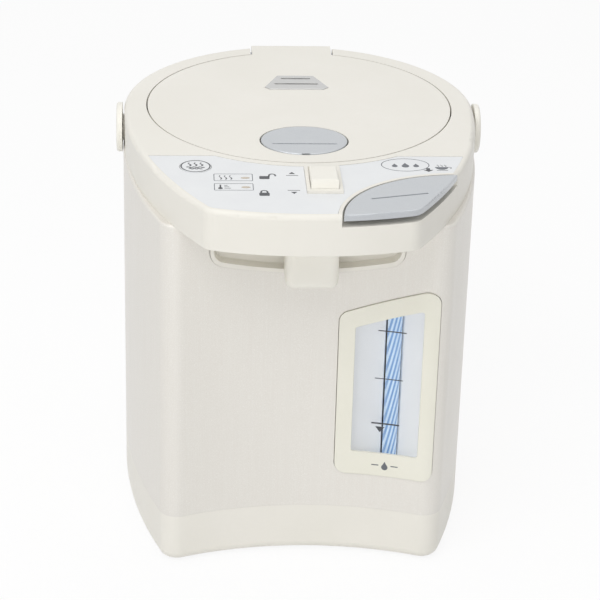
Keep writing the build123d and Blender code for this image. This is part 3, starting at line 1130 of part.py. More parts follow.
with BuildPart() as lid_lever:
    ellipse_disc(LEVER_HALF_WIDTH, LEVER_HALF_DEPTH, LEVER_TOP - LEVER_THICKNESS, LEVER_TOP, 0, LEVER_Y)
    fillet(lid_lever.faces().sort_by(Axis.Z)[-1].edges(), radius=0.8)
    block((-LUG_OUTER - FIT, LUG_OUTER + FIT),
          (LEVER_HINGE_Y - LEVER_KNUCKLE - 2, LEVER_HINGE_Y + LEVER_KNUCKLE + 2),
          (LEVER_FLOOR, LEVER_HINGE_Z + LEVER_KNUCKLE + 0.2), mode=Mode.SUBTRACT)
    for side in (-1, 1):
        knuckle = sorted((side * KNUCKLE_INNER, side * (LUG_INNER - FIT)))
        cross_rod(LEVER_KNUCKLE, knuckle[0], knuckle[1], LEVER_HINGE_Y, LEVER_HINGE_Z)
        block(knuckle, (LEVER_HINGE_Y - LEVER_KNUCKLE / 2, LEVER_HINGE_Y + LEVER_KNUCKLE / 2),
              (LEVER_HINGE_Z, LEVER_TOP - 1))
    with BuildSketch(Plane.YZ.offset(-TOE_HALF_WIDTH)):
        with BuildLine():
            Polyline(toe_point(TOE_REACH + TOE_THICKNESS, TOE_START_ANGLE),
                     toe_point(TOE_REACH + TOE_THICKNESS, -TOE_ROOT_ANGLE),
                     toe_point(TOE_REACH, -TOE_ROOT_ANGLE), toe_point(TOE_REACH, TOE_START_ANGLE),
                     toe_point((TOE_REACH + TOE_END_REACH) / 2, (TOE_START_ANGLE + TOE_END_ANGLE) / 2),
                     toe_point(TOE_END_REACH, TOE_END_ANGLE),
                     toe_point(TOE_END_REACH + TOE_THICKNESS, TOE_END_ANGLE), close=True)
        make_face()
    extrude(amount=2 * TOE_HALF_WIDTH)
    cross_rod(LEVER_PIN_RADIUS + RUNNING, -LUG_OUTER, LUG_OUTER, LEVER_HINGE_Y, LEVER_HINGE_Z,
              mode=Mode.SUBTRACT)
    # the groove along the plate and the finger notch in its front edge
    with BuildSketch(Plane.XY.offset(LEVER_TOP - GROOVE_DEPTH)):
        with Locations((0, LEVER_Y - LEVER_GROOVE_SHIFT)):
            SlotOverall(LEVER_GROOVE_LENGTH, GROOVE_WIDTH)
    extrude(amount=2 * GROOVE_DEPTH, mode=Mode.SUBTRACT)
    block((-NOTCH_WIDTH / 2, NOTCH_WIDTH / 2),
          (LEVER_Y - LEVER_HALF_DEPTH - NOTCH_DEPTH, LEVER_Y - LEVER_HALF_DEPTH + NOTCH_DEPTH),
          (LEVER_FLOOR, LEVER_TOP + HAIR), mode=Mode.SUBTRACT)
finish(lid_lever.part, "lid_lever")

with BuildPart() as lever_pin:
    cross_rod(LEVER_PIN_RADIUS, -LUG_OUTER, LUG_OUTER, LEVER_HINGE_Y, LEVER_HINGE_Z)
finish(lever_pin.part, "lever_pin")

COIL_RADIUS = LEVER_PIN_RADIUS + LEVER_SPRING_WIRE
COIL_HALF = KNUCKLE_INNER - FIT - LEVER_SPRING_WIRE
with BuildPart() as lever_spring:
    with BuildLine() as coil:
        Helix(2 * COIL_HALF / LEVER_SPRING_TURNS, 2 * COIL_HALF, COIL_RADIUS,
              center=(-COIL_HALF, LEVER_HINGE_Y, LEVER_HINGE_Z), direction=(1, 0, 0))
    with BuildSketch(Plane(origin=coil.line @ 0, z_dir=coil.line % 0)):
        Circle(LEVER_SPRING_WIRE / 2)
    sweep(path=coil.line, is_frenet=True)
finish(lever_spring.part, "lever_spring")

with BuildPart() as latch_bolt:
    block((-BOLT_HALF_WIDTH, BOLT_HALF_WIDTH), (LATCH_TIP, BOLT_BACK), (BOLT_BOTTOM, BOLT_TOP))
    chamfer(latch_bolt.faces().sort_by(Axis.Y)[0].edges().sort_by(Axis.Z)[0], length=1.2)
    # the window that the toe passes through
    block(grown(TOE_SIDES, FIT), (TOE_BACK - TOE_THICKNESS - BOLT_TRAVEL - FIT, TOE_BACK + FIT),
          (BOLT_BOTTOM - HAIR, BOLT_TOP + HAIR), mode=Mode.SUBTRACT)
finish(latch_bolt.part, "latch_bolt")

# ---------------------------------------------------------------- control panel
BEZEL_HALF = KNOB_WIDTH / 2 + BEZEL_SIDE
BEZEL_ENDS = (KNOB_FRONT - BEZEL_FRONT, KNOB_BACK + LOCK_TRAVEL + BEZEL_SIDE)
with BuildPart() as control_label:
    prism(label_plan, FIT / 2, LABEL_FLOOR, LABEL_TOP)
    disc(REBOIL_RADIUS + FIT, LABEL_FLOOR - HAIR, HEAD_TOP, REBOIL_X, REBOIL_Y, mode=Mode.SUBTRACT)
    for lamp_y in LAMP_Y:
        ellipse_disc(LAMP_HALF_LENGTH, LAMP_HALF_WIDTH, LABEL_FLOOR - HAIR, HEAD_TOP, LAMP_X, lamp_y,
                     mode=Mode.SUBTRACT)
    with BuildSketch(Plane.XY.offset(LABEL_FLOOR - HAIR)):
        lock_rectangle(BEZEL_HALF + HAIR, BEZEL_ENDS[0] - HAIR, BEZEL_ENDS[1] + HAIR)
    extrude(amount=HEAD_TOP - LABEL_FLOOR, mode=Mode.SUBTRACT)
finish(control_label.part, "control_label")

with BuildPart() as lock_bezel:
    with BuildSketch(Plane.XY.offset(LABEL_FLOOR)):
        lock_rectangle(BEZEL_HALF, *BEZEL_ENDS)
        lock_rectangle(KNOB_WIDTH / 2 + FIT, KNOB_FRONT - FIT, KNOB_BACK + LOCK_TRAVEL + FIT, Mode.SUBTRACT)
    extrude(amount=LABEL_DEPTH + BEZEL_HEIGHT)
finish(lock_bezel.part, "lock_bezel")

KNOB_BOTTOM = LABEL_FLOOR + HAIR
KNOB_TOP = HEAD_TOP + KNOB_HEIGHT
LOCK_SWITCH_TOP = BOARD_TOP + SWITCH_HEIGHT - FIT
with BuildPart() as lock_slider:
    with BuildSketch(Plane.YZ.offset(LOCK_X - KNOB_WIDTH / 2)):
        with BuildLine():
            Polyline((KNOB_FRONT, KNOB_BOTTOM), (KNOB_FRONT, HEAD_TOP + BEZEL_HEIGHT),
                     (KNOB_FRONT + KNOB_SLOPE, KNOB_TOP), (KNOB_BACK, KNOB_TOP - 1),
                     (KNOB_BACK, KNOB_BOTTOM), close=True)
        make_face()
    extrude(amount=KNOB_WIDTH)
    fillet(lock_slider.faces().sort_by(Axis.Z)[-1].edges(), radius=1.0)
    block((LOCK_X - LOCK_STEM_WIDTH / 2, LOCK_X + LOCK_STEM_WIDTH / 2), (STEM_FRONT, STEM_BACK),
          (LOCK_SWITCH_TOP + FIT, KNOB_BOTTOM + HAIR))
finish(lock_slider.part, "lock_slider")

KEY_SWITCH_TOP = SEAT_RING_TOP + KEY_SWITCH_HEIGHT
STEM_BOTTOM = KEY_SWITCH_TOP + KEY_TRAVEL + FIT
with BuildPart() as dispense_key:
    prism(key_plan, 0, KEY_BOTTOM, KEY_TOP)
    fillet(dispense_key.faces().sort_by(Axis.Z)[-1].edges(), radius=0.8)
    disc(KEY_STEM_RADIUS, STEM_BOTTOM, KEY_BOTTOM + HAIR, KEY_STEM_X, KEY_STEM_Y)
    with BuildSketch(Plane.XY.offset(KEY_TOP - GROOVE_DEPTH)):
        with Locations((KEY_GROOVE_X, KEY_GROOVE_SETBACK - HEAD_FRONT)):
            SlotOverall(KEY_GROOVE_LENGTH, GROOVE_WIDTH, rotation=KEY_GROOVE_ANGLE)
    extrude(amount=2 * GROOVE_DEPTH, mode=Mode.SUBTRACT)
finish(dispense_key.part, "dispense_key")

SPRING_BOTTOM = KEY_FLOOR + KEY_SPRING_WIRE / 2
SPRING_TOP = KEY_BOTTOM - KEY_SPRING_WIRE / 2
with BuildPart() as key_spring:
    with BuildLine() as coil:
        Helix((SPRING_TOP - SPRING_BOTTOM) / KEY_SPRING_TURNS, SPRING_TOP - SPRING_BOTTOM, KEY_SPRING_RADIUS,
              center=(KEY_STEM_X, KEY_STEM_Y, SPRING_BOTTOM))
    with BuildSketch(Plane(origin=coil.line @ 0, z_dir=coil.line % 0)):
        Circle(KEY_SPRING_WIRE / 2 - RUNNING)
    sweep(path=coil.line, is_frenet=True)
finish(key_spring.part, "key_spring")

with BuildPart() as key_switch:
    block((KEY_STEM_X - KEY_SWITCH_LENGTH / 2, KEY_STEM_X + KEY_SWITCH_LENGTH / 2),
          (KEY_STEM_Y - KEY_SWITCH_LENGTH / 4, KEY_STEM_Y + KEY_SWITCH_LENGTH / 4),
          (SEAT_RING_TOP, KEY_SWITCH_TOP - 1))
    disc(SWITCH_HALF_WIDTH / 2, KEY_SWITCH_TOP - 1 - HAIR, KEY_SWITCH_TOP, KEY_STEM_X, KEY_STEM_Y)
finish(key_switch.part, "key_switch")

REBOIL_SWITCH_TOP = BOARD_TOP + SWITCH_HEIGHT
with BuildPart() as reboil_button:
    disc(REBOIL_RADIUS, REBOIL_WELL + REBOIL_TRAVEL + HAIR, LABEL_TOP + FIT, REBOIL_X, REBOIL_Y)
    fillet(reboil_button.faces().sort_by(Axis.Z)[-1].edges(), radius=0.3)
    disc(REBOIL_STEM_RADIUS, REBOIL_SWITCH_TOP + REBOIL_TRAVEL + HAIR, HEAD_TOP - LABEL_DEPTH,
         REBOIL_X, REBOIL_Y)
finish(reboil_button.part, "reboil_button")

with BuildPart() as reboil_switch:
    block((REBOIL_X - SWITCH_HALF_WIDTH, REBOIL_X + SWITCH_HALF_WIDTH),
          (REBOIL_Y - SWITCH_HALF_WIDTH, REBOIL_Y + SWITCH_HALF_WIDTH), (BOARD_TOP, REBOIL_SWITCH_TOP - 0.5))
    disc(SWITCH_HALF_WIDTH / 2, BOARD_TOP + 1, REBOIL_SWITCH_TOP, REBOIL_X, REBOIL_Y)
finish(reboil_switch.part, "reboil_switch")

with BuildPart() as lock_switch:
    block((LOCK_X - SWITCH_HALF_WIDTH, LOCK_X + SWITCH_HALF_WIDTH), (STEM_FRONT, STEM_BACK),
          (BOARD_TOP, LOCK_SWITCH_TOP))
finish(lock_switch.part, "lock_switch")

with BuildPart() as lamp_lenses:
    for lamp_y in LAMP_Y:
        ellipse_disc(LAMP_HALF_LENGTH - HAIR, LAMP_HALF_WIDTH - HAIR, CAVITY_TOP - 1, LABEL_TOP + HAIR,
                     LAMP_X, lamp_y)
finish(lamp_lenses.part, "lamp_lenses")

with BuildPart() as lamp_leds:
    discs(SWITCH_HALF_WIDTH / 2, BOARD_TOP, BOARD_TOP + SWITCH_HEIGHT, [(LAMP_X, lamp_y) for lamp_y in LAMP_Y])
finish(lamp_leds.part, "lamp_leds")

BOARD_OUTLINE = [
    (BOARD_LEFT, BOARD_BACK),
    (BOARD_LEFT + BOARD_STEP_START, BOARD_BACK),
    (BOARD_LEFT + BOARD_STEP_END, BOARD_BACK - BOARD_STEP),
    (BOARD_RIGHT, BOARD_BACK - BOARD_STEP),
    (BOARD_RIGHT, BOARD_FRONT),
    (BOARD_LEFT + BOARD_CHAMFER_WIDTH, BOARD_FRONT),
    (BOARD_LEFT, BOARD_FRONT + BOARD_CHAMFER_DEPTH),
]
with BuildPart() as control_board:
    with BuildSketch(Plane.XY.offset(BOARD_BOTTOM)):
        with BuildLine():
            Polyline(*BOARD_OUTLINE, close=True)
        make_face()
        with Locations(*BOARD_POSTS):
            Circle(BOARD_SCREW_RADIUS + HAIR, mode=Mode.SUBTRACT)
    extrude(amount=BOARD_THICKNESS)
    block((LAMP_X + CHIP_SIZE, LAMP_X + 2 * CHIP_SIZE), (LAMP_Y[1] - CHIP_SIZE / 2, LAMP_Y[1] + CHIP_SIZE / 2),
          (BOARD_BOTTOM - CHIP_THICKNESS, BOARD_BOTTOM + HAIR))
    block((LAMP_X - CHIP_SIZE / 2, LAMP_X + CHIP_SIZE / 2), (LAMP_Y[0], LAMP_Y[0] + CHIP_SIZE),
          (BOARD_BOTTOM - PLUG_HEIGHT, BOARD_BOTTOM + HAIR))
finish(control_board.part, "control_board")

with BuildPart() as board_screws:
    discs(BOARD_SCREW_RADIUS + 1.2, BOARD_BOTTOM - 1.5, BOARD_BOTTOM, BOARD_POSTS)
    discs(BOARD_SCREW_RADIUS - RUNNING, BOARD_BOTTOM - 1, BOARD_TOP + POST_DEPTH - HAIR, BOARD_POSTS)
finish(board_screws.part, "board_screws")

# ---------------------------------------------------------------- carry handle
REST = radians(BAIL_REST_ANGLE)
BAIL_PLANE = Plane(origin=(0, PIVOT_Y, PIVOT_Z), x_dir=(1, 0, 0), z_dir=(0, sin(REST), cos(REST)))


CAP_RADIUS = PIVOT_RADIUS + 2.5
CAP_THICKNESS = 0.8
HUB_OUTER = HUB_FACE + HUB_THICKNESS
CAP_FACE = HUB_OUTER - CAP_THICKNESS
with BuildPart() as hubs:
    for side in (-1, 1):
        ends = sorted((side * HUB_FACE, side * HUB_OUTER))
        cross_rod(HUB_RADIUS, ends[0], ends[1], PIVOT_Y, PIVOT_Z)
    rims = hubs.edges().filter_by(GeomType.CIRCLE).sort_by(Axis.X)
    fillet([rims[0], rims[-1]], radius=HUB_EDGE)

with BuildPart() as handle_bail:
    with BuildSketch(BAIL_PLANE):
        RectangleRounded(2 * (HUB_FACE + BAIL_THICKNESS), 2 * (BAIL_REACH + BAIL_THICKNESS),
                         BAIL_BEND + BAIL_THICKNESS)
        RectangleRounded(2 * HUB_FACE, 2 * BAIL_REACH, BAIL_BEND, mode=Mode.SUBTRACT)
        with Locations((0, BAIL_REACH)):
            Rectangle(4 * HUB_FACE, 2 * BAIL_REACH, mode=Mode.INTERSECT)
    extrude(amount=BAIL_WIDTH / 2, both=True)
    fillet(handle_bail.edges().group_by(SortBy.LENGTH)[-1], radius=BAIL_EDGE)
    with BuildSketch(BAIL_PLANE):
        with Locations((0, BAIL_REACH + GRIP_THICKNESS / 2)):
            RectangleRounded(2 * GRIP_HALF_LENGTH, GRIP_THICKNESS, GRIP_THICKNESS / 2 - HAIR)
    extrude(amount=BAIL_WIDTH / 2 + GRIP_EDGE, both=True)
    add(hubs.part)
    # the bores of the pivots and the recesses of their caps
    for side in (-1, 1):
        ends = sorted((side * (HUB_FACE - 1), side * (HUB_OUTER + 1)))
        cross_rod(PIVOT_RADIUS + RUNNING, ends[0], ends[1], PIVOT_Y, PIVOT_Z, mode=Mode.SUBTRACT)
        ends = sorted((side * (CAP_FACE - FIT / 2), side * (HUB_OUTER + 1)))
        cross_rod(CAP_RADIUS + FIT, ends[0], ends[1], PIVOT_Y, PIVOT_Z, mode=Mode.SUBTRACT)
finish(handle_bail.part, "handle_bail")

with BuildPart() as pivot_pins:
    for side in (-1, 1):
        ends = sorted((side * (HEAD_RADIUS - 2 * HEAD_WALL), side * HUB_OUTER))
        cross_rod(PIVOT_RADIUS, ends[0], ends[1], PIVOT_Y, PIVOT_Z)
        ends = sorted((side * CAP_FACE, side * HUB_OUTER))
        cross_rod(CAP_RADIUS, ends[0], ends[1], PIVOT_Y, PIVOT_Z)
finish(pivot_pins.part, "pivot_pins")
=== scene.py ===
"""Looks of the electric thermo pot: materials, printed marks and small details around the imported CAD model.

Lengths here are in millimetres and are turned into metres where a mesh, light or camera is made.
+Z is up, the spout faces -Y, and the origin is on the floor under the vessel's axis.
"""
from math import cos, pi, radians, sin, sqrt

import bmesh
import bpy
from mathutils import Matrix, Vector


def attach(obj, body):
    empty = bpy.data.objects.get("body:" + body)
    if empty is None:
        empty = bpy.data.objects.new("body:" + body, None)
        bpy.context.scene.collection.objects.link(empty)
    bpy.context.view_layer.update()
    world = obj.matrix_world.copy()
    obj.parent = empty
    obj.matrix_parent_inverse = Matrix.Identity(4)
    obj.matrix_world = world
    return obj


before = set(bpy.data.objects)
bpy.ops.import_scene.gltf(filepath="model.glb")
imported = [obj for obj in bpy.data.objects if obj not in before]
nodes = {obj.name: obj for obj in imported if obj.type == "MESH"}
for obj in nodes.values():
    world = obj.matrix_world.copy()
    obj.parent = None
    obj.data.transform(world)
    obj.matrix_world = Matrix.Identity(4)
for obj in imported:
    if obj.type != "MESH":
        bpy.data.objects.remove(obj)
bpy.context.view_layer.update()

MM = 0.001

# ---------------------------------------------------------------- places on the object, in millimetres
FRONT_CENTRE_Y = -325.0        # axis of the hollow front face
FRONT_RADIUS = 210.0
PANE_SINK = 0.6
FRAME_PROUD = 0.8
LABEL_TOP = 249.8
BUTTON_TOP = 250.1
INK = 0.04                     # how far a print stands off its surface
GAUGE_X = 53.5
GAUGE_Y = -111.5
GAUGE_BORE = 4.5
REBOIL = (-64.5, -99.0)


# ---------------------------------------------------------------- colours and shaders
def srgb(red, green, blue):
    """A colour given as it looks on a screen, 0 to 255, as the linear colour that Blender works in."""
    linear = [(c / 255 / 12.92) if c <= 10 else ((c / 255 + 0.055) / 1.055) ** 2.4
              for c in (red, green, blue)]
    return (*linear, 1.0)


class Finish:
    """A material with a Principled shader, and short calls for the nodes used here."""

    def __init__(self, name, **sockets):
        self.material = bpy.data.materials.new(name)
        self.material.use_nodes = True
        self.tree = self.material.node_tree
        self.tree.nodes.clear()
        self.output = self.node("ShaderNodeOutputMaterial")
        self.shader = self.node("ShaderNodeBsdfPrincipled")
        self.link(self.shader.outputs[0], self.output.inputs["Surface"])
        self.place = self.node("ShaderNodeTexCoord").outputs["Object"]
        for socket, value in sockets.items():
            self.shader.inputs[socket.replace("_", " ")].default_value = value

    def node(self, kind, **settings):
        made = self.tree.nodes.new(kind)
        for key, value in settings.items():
            setattr(made, key, value)
        return made

    def link(self, source, target):
        self.tree.links.new(source, target)

    def noise(self, size, detail=2.0, stretch=(1, 1, 1)):
        """Noise with features about size mm across, drawn out along the axes by stretch."""
        mapping = self.node("ShaderNodeMapping")
        mapping.inputs["Scale"].default_value = [1 / s for s in stretch]
        self.link(self.place, mapping.inputs["Vector"])
        texture = self.node("ShaderNodeTexNoise")
        texture.inputs["Scale"].default_value = 1 / (size * MM)
        texture.inputs["Detail"].default_value = detail
        self.link(mapping.outputs[0], texture.inputs["Vector"])
        return texture.outputs[0]

    def spread(self, value, low, high, start=0.3, end=0.7):
        """A value between start and end, moved to between low and high."""
        made = self.node("ShaderNodeMapRange")
        self.link(value, made.inputs["Value"])
        for socket, number in (("From Min", start), ("From Max", end), ("To Min", low), ("To Max", high)):
            made.inputs[socket].default_value = number
        return made.outputs[0]

    def math(self, operation, first, second=None):
        made = self.node("ShaderNodeMath", operation=operation)
        for socket, value in zip(made.inputs, (first, second)):
            if isinstance(value, (int, float)):
                socket.default_value = value
            elif value is not None:
                self.link(value, socket)
        return made.outputs[0]

    def mix(self, factor, first, second):
        made = self.node("ShaderNodeMix", data_type="RGBA")
        self.link(factor, made.inputs[0])
        for socket, colour in ((made.inputs[6], first), (made.inputs[7], second)):
            if isinstance(colour, tuple):
                socket.default_value = colour
            else:
                self.link(colour, socket)
        return made.outputs[2]

    def colour(self, source):
        self.link(source, self.shader.inputs["Base Color"])

    def roughness(self, value, low, high):
        self.link(self.spread(value, low, high), self.shader.inputs["Roughness"])

    def relief(self, height, depth, edge=0.0):
        """Bump depth mm deep, over edges that are shaded as rounded by edge mm."""
        bump = self.node("ShaderNodeBump")
        bump.inputs["Distance"].default_value = depth * MM
        self.link(height, bump.inputs["Height"])
        if edge:
            rounding = self.node("ShaderNodeBevel", samples=4)
            rounding.inputs["Radius"].default_value = edge * MM
            self.link(rounding.outputs[0], bump.inputs["Normal"])
        self.link(bump.outputs[0], self.shader.inputs["Normal"])


def moulded(name, colour, shade, rough=(0.36, 0.46), grain=0.35, depth=0.006, edge=0.3, **sockets):
    """Moulded plastic: slow changes of tone, a fine spark-eroded grain and rounded edges."""
    made = Finish(name, **sockets)
    cloud = made.noise(60, 3)
    fine = made.noise(grain, 2)
    speck = made.spread(made.noise(2.2, 4), 0.0, 0.35)
    made.colour(made.mix(speck, made.mix(made.spread(cloud, 0, 1), colour, shade), shade))
    made.roughness(made.noise(9, 3), *rough)
    made.relief(fine, depth, edge)
    return made.material


def brushed(name, colour, shade, stretch, rough, metallic=1.0, line=0.25, depth=0.004, **sockets):
    """Brushed or drawn metal: fine lines along the stretched axis."""
    made = Finish(name, Metallic=metallic, **sockets)
    lines = made.noise(line, 3, stretch)
    made.colour(made.mix(made.spread(lines, 0, 1), colour, shade))
    made.roughness(made.noise(6, 2, stretch), *rough)
    made.relief(lines, depth, 0.2)
    return made.material


def pearl_paint():
    """Pearl paint on steel: faint upright streaks, a fine grain and a slight sparkle under a soft coat."""
    made = Finish("pearl_paint", Metallic=0.18, Coat_Weight=0.22, Coat_Roughness=0.28)
    streaks = made.noise(0.55, 4, (1, 1, 60))
    bands = made.noise(7, 2, (1, 1, 30))
    flakes = made.spread(made.noise(0.3, 0), 0, 1, 0.55, 0.75)
    tone = made.mix(made.spread(streaks, 0, 1), srgb(232, 229, 222), srgb(230, 226, 219))
    tone = made.mix(made.spread(bands, 0, 0.2), tone, srgb(227, 223, 215))
    made.colour(made.mix(made.math("MULTIPLY", flakes, 0.5), tone, srgb(250, 248, 244)))
    made.roughness(streaks, 0.40, 0.50)
    made.relief(made.noise(0.5, 2), 0.004, 0.3)
    return made.material


def silver_film(name, colour, shade, rough=(0.30, 0.42)):
    """Satin silver paint over plastic: cool grey with a fine metallic flake."""
    made = Finish(name, Metallic=0.55, Coat_Weight=0.3, Coat_Roughness=0.2)
    flakes = made.noise(0.25, 1)
    cloud = made.noise(14, 3)
    tone = made.mix(made.spread(flakes, 0, 1), colour, shade)
    made.colour(made.mix(made.spread(cloud, 0, 0.3), tone, shade))
    made.roughness(cloud, *rough)
    made.relief(flakes, 0.003, 0.3)
    return made.material


def label_film():
    """Printed film: cool white, smooth, with a faint orange-peel relief."""
    made = Finish("label_film", Coat_Weight=0.35, Coat_Roughness=0.15)
    cloud = made.noise(25, 3)
    made.colour(made.mix(made.spread(cloud, 0, 1), srgb(236, 238, 239), srgb(231, 233, 235)))
    made.roughness(made.noise(4, 2), 0.28, 0.36)
    made.relief(made.noise(1.2, 2), 0.003, 0.15)
    return made.material


def striped_water():
    """The level strip seen through water: steep blue stripes that glow a little, as if lit from behind."""
    made = Finish("striped_water", Coat_Weight=0.6, Coat_Roughness=0.08, Emission_Strength=0.62)
    axes = made.node("ShaderNodeSeparateXYZ")
    made.link(made.place, axes.inputs[0])
    slant = made.math("SUBTRACT", axes.outputs["X"], made.math("MULTIPLY", axes.outputs["Z"], 0.20))
    wave = made.math("SINE", made.math("MULTIPLY", slant, 2 * pi / (2.35 * MM)))
    stripe = made.spread(wave, 0, 1, -0.35, 0.35)
    wander = made.noise(5, 2, (1, 1, 8))
    light = made.mix(made.spread(wander, 0, 1), srgb(206, 224, 240), srgb(196, 216, 236))
    dark = made.mix(made.spread(wander, 0, 1), srgb(122, 158, 204), srgb(134, 168, 210))
    tone = made.mix(stripe, light, dark)
    made.colour(tone)
    made.link(tone, made.shader.inputs["Emission Color"])
    made.roughness(wander, 0.2, 0.3)
    return made.material


def clear(name, tint, gloss_rough, strength=1.0):
    """Clear plastic or glass: see-through, with a reflection that grows towards its edges."""
    made = Finish(name, Roughness=gloss_rough, IOR=1.45)
    through = made.node("ShaderNodeBsdfTransparent")
    haze = made.spread(made.noise(8, 3, (1, 1, 4)), 0.0, 0.04)
    made.link(made.mix(haze, tint, srgb(255, 255, 255)), through.inputs["Color"])
    gloss = made.node("ShaderNodeBsdfGlossy")
    gloss.inputs["Roughness"].default_value = gloss_rough
    fresnel = made.node("ShaderNodeFresnel")
    fresnel.inputs["IOR"].default_value = 1.3
    share = made.math("MULTIPLY", fresnel.outputs[0], strength)
    layer = made.node("ShaderNodeMixShader")
    made.link(share, layer.inputs[0])
    made.link(through.outputs[0], layer.inputs[1])
    made.link(gloss.outputs[0], layer.inputs[2])
    made.tree.nodes.remove(made.shader)
    made.link(layer.outputs[0], made.output.inputs["Surface"])
    return made.material


def ink(name, colour, shade):
    """Screen-printed ink with slightly uneven cover."""
    made = Finish(name)
    cover = made.noise(0.5, 3)
    made.colour(made.mix(made.spread(cover, 0, 1), colour, shade))
    made.roughness(cover, 0.4, 0.55)
    return made.material


def board_lacquer():
    """Green solder lacquer with faint copper tracks under it."""
    made = Finish("board_lacquer", Coat_Weight=0.4, Coat_Roughness=0.2)
    voronoi = made.node("ShaderNodeTexVoronoi", feature="DISTANCE_TO_EDGE")
    voronoi.inputs["Scale"].default_value = 1 / (5 * MM)
    made.link(made.place, voronoi.inputs["Vector"])
    tracks = made.spread(voronoi.outputs[0], 1, 0, 0.02, 0.08)
    made.colour(made.mix(tracks, srgb(34, 96, 58), srgb(70, 140, 84)))
    made.roughness(made.noise(3, 2), 0.35, 0.5)
    made.relief(tracks, 0.02, 0.1)
    return made.material


CREAM = moulded("cream_plastic", srgb(242, 239, 231), srgb(238, 235, 226))
# Painted light: a lighter copy of the cream plastic for the parts that sit in shade under the head and in
# recesses (spout, handle, pins, lock slider)
CREAM_BRIGHTENED_FOR_SHADE = moulded("cream_plastic_painted_light", srgb(248, 246, 238), srgb(243, 240, 230), rough=(0.32, 0.42))
CREAM_FRAME = moulded("cream_frame", srgb(243, 241, 229), srgb(238, 236, 222), rough=(0.28, 0.38))
PEARL = pearl_paint()
SILVER_KEY = silver_film("silver_key", srgb(199, 202, 205), srgb(186, 190, 194))
SILVER_VENT = silver_film("silver_vent", srgb(206, 206, 204), srgb(190, 190, 189), rough=(0.36, 0.5))
LABEL = label_film()
DARK = moulded("dark_plastic", srgb(58, 57, 55), srgb(48, 47, 46), rough=(0.42, 0.58), depth=0.01)
INNER = moulded("inner_plastic", srgb(196, 193, 184), srgb(184, 181, 172), rough=(0.45, 0.6))
RUBBER = moulded("rubber", srgb(72, 71, 69), srgb(60, 59, 58), rough=(0.7, 0.85), depth=0.02)
SILICONE = moulded("silicone", srgb(214, 212, 206), srgb(200, 198, 192), rough=(0.5, 0.65), depth=0.01)
HOSE = moulded("hose_silicone", srgb(226, 224, 216), srgb(208, 206, 198), rough=(0.4, 0.55))
ZINC = brushed("zinc_steel", srgb(190, 191, 193), srgb(165, 167, 170), (1, 1, 3), (0.28, 0.42))
STAINLESS = brushed("stainless", srgb(206, 205, 203), srgb(182, 181, 179), (30, 30, 1), (0.22, 0.36))
DRAWN = brushed("drawn_stainless", srgb(196, 195, 192), srgb(172, 171, 168), (30, 30, 1), (0.3, 0.45), 0.85)
ALUMINIUM = brushed("cast_aluminium", srgb(186, 187, 188), srgb(158, 160, 162), (1, 1, 1), (0.45, 0.6),
                    line=1.2, depth=0.03)
MICA = moulded("heater_sheet", srgb(150, 138, 112), srgb(126, 114, 90), rough=(0.5, 0.7), depth=0.02)
BRASS = brushed("brass", srgb(214, 180, 104), srgb(188, 152, 80), (1, 20, 1), (0.22, 0.34))
SPRING = brushed("spring_steel", srgb(170, 172, 176), srgb(140, 142, 146), (1, 1, 1), (0.2, 0.3))
BOARD = board_lacquer()
# The glow stands in for the light that the pane and its recess would scatter
TRAY = moulded("stripe_tray", srgb(238, 236, 231), srgb(232, 230, 226), rough=(0.4, 0.55), depth=0.002,
               Emission_Color=srgb(226, 228, 236), Emission_Strength=0.33)
PANE = clear("clear_pane", srgb(247, 248, 249), 0.06, 0.55)
TUBE = clear("clear_tube", srgb(252, 253, 254), 0.10, 0.12)
LENS = moulded("lamp_lens", srgb(214, 204, 188), srgb(200, 188, 170), rough=(0.2, 0.3), depth=0.002)
LED = moulded("lamp_led", srgb(236, 214, 150), srgb(222, 196, 128), rough=(0.2, 0.3), depth=0.002)
BLACK_INK = ink("black_ink", srgb(62, 64, 68), srgb(78, 80, 84))
GREY_INK = ink("grey_ink", srgb(96, 100, 106), srgb(112, 116, 122))
WATER = striped_water()

NODE_FINISH = {
    "body_shell": PEARL,
    "base_housing": CREAM, "head_housing": CREAM, "lid_cover": CREAM, "neck_bezel": CREAM,
    "head_underside": CREAM, "handle_bail": CREAM_BRIGHTENED_FOR_SHADE, "spout_cover": CREAM_BRIGHTENED_FOR_SHADE,
    "pivot_pins": CREAM_BRIGHTENED_FOR_SHADE, "lock_bezel": CREAM, "lock_slider": CREAM_BRIGHTENED_FOR_SHADE, "window_frame": CREAM_FRAME,
    "lid_lever": SILVER_KEY, "dispense_key": SILVER_KEY, "steam_vent": SILVER_VENT,
    "control_label": LABEL, "reboil_button": LABEL,
    "bottom_cover": DARK, "power_inlet": DARK, "pump_motor": ZINC, "pump_housing": INNER,
    "pump_impeller": INNER, "inner_lid": DRAWN, "steam_duct": INNER, "latch_bolt": INNER,
    "key_switch": DARK, "reboil_switch": DARK, "lock_switch": DARK, "outlet_tube": INNER,
    "rubber_feet": RUBBER, "vessel_seal": SILICONE, "lid_gasket": SILICONE,
    "riser_hose": HOSE, "delivery_hose": HOSE, "inlet_sleeve": HOSE,
    "bottom_screws": ZINC, "board_screws": ZINC, "tie_rods": ZINC, "heat_shield": ZINC,
    "vessel": STAINLESS, "hinge_pin": SPRING, "lever_pin": SPRING, "lever_spring": SPRING,
    "key_spring": SPRING, "heater_plate": ALUMINIUM, "thermostat": ALUMINIUM, "band_heater": MICA,
    "inlet_pins": BRASS, "power_board": BOARD, "control_board": BOARD,
    "gauge_tray": TRAY, "gauge_tube": TUBE, "window_pane": PANE,
    "lamp_lenses": LENS, "lamp_leds": LED,
}
for node_name, material in NODE_FINISH.items():
    nodes[node_name].data.materials.clear()
    nodes[node_name].data.materials.append(material)


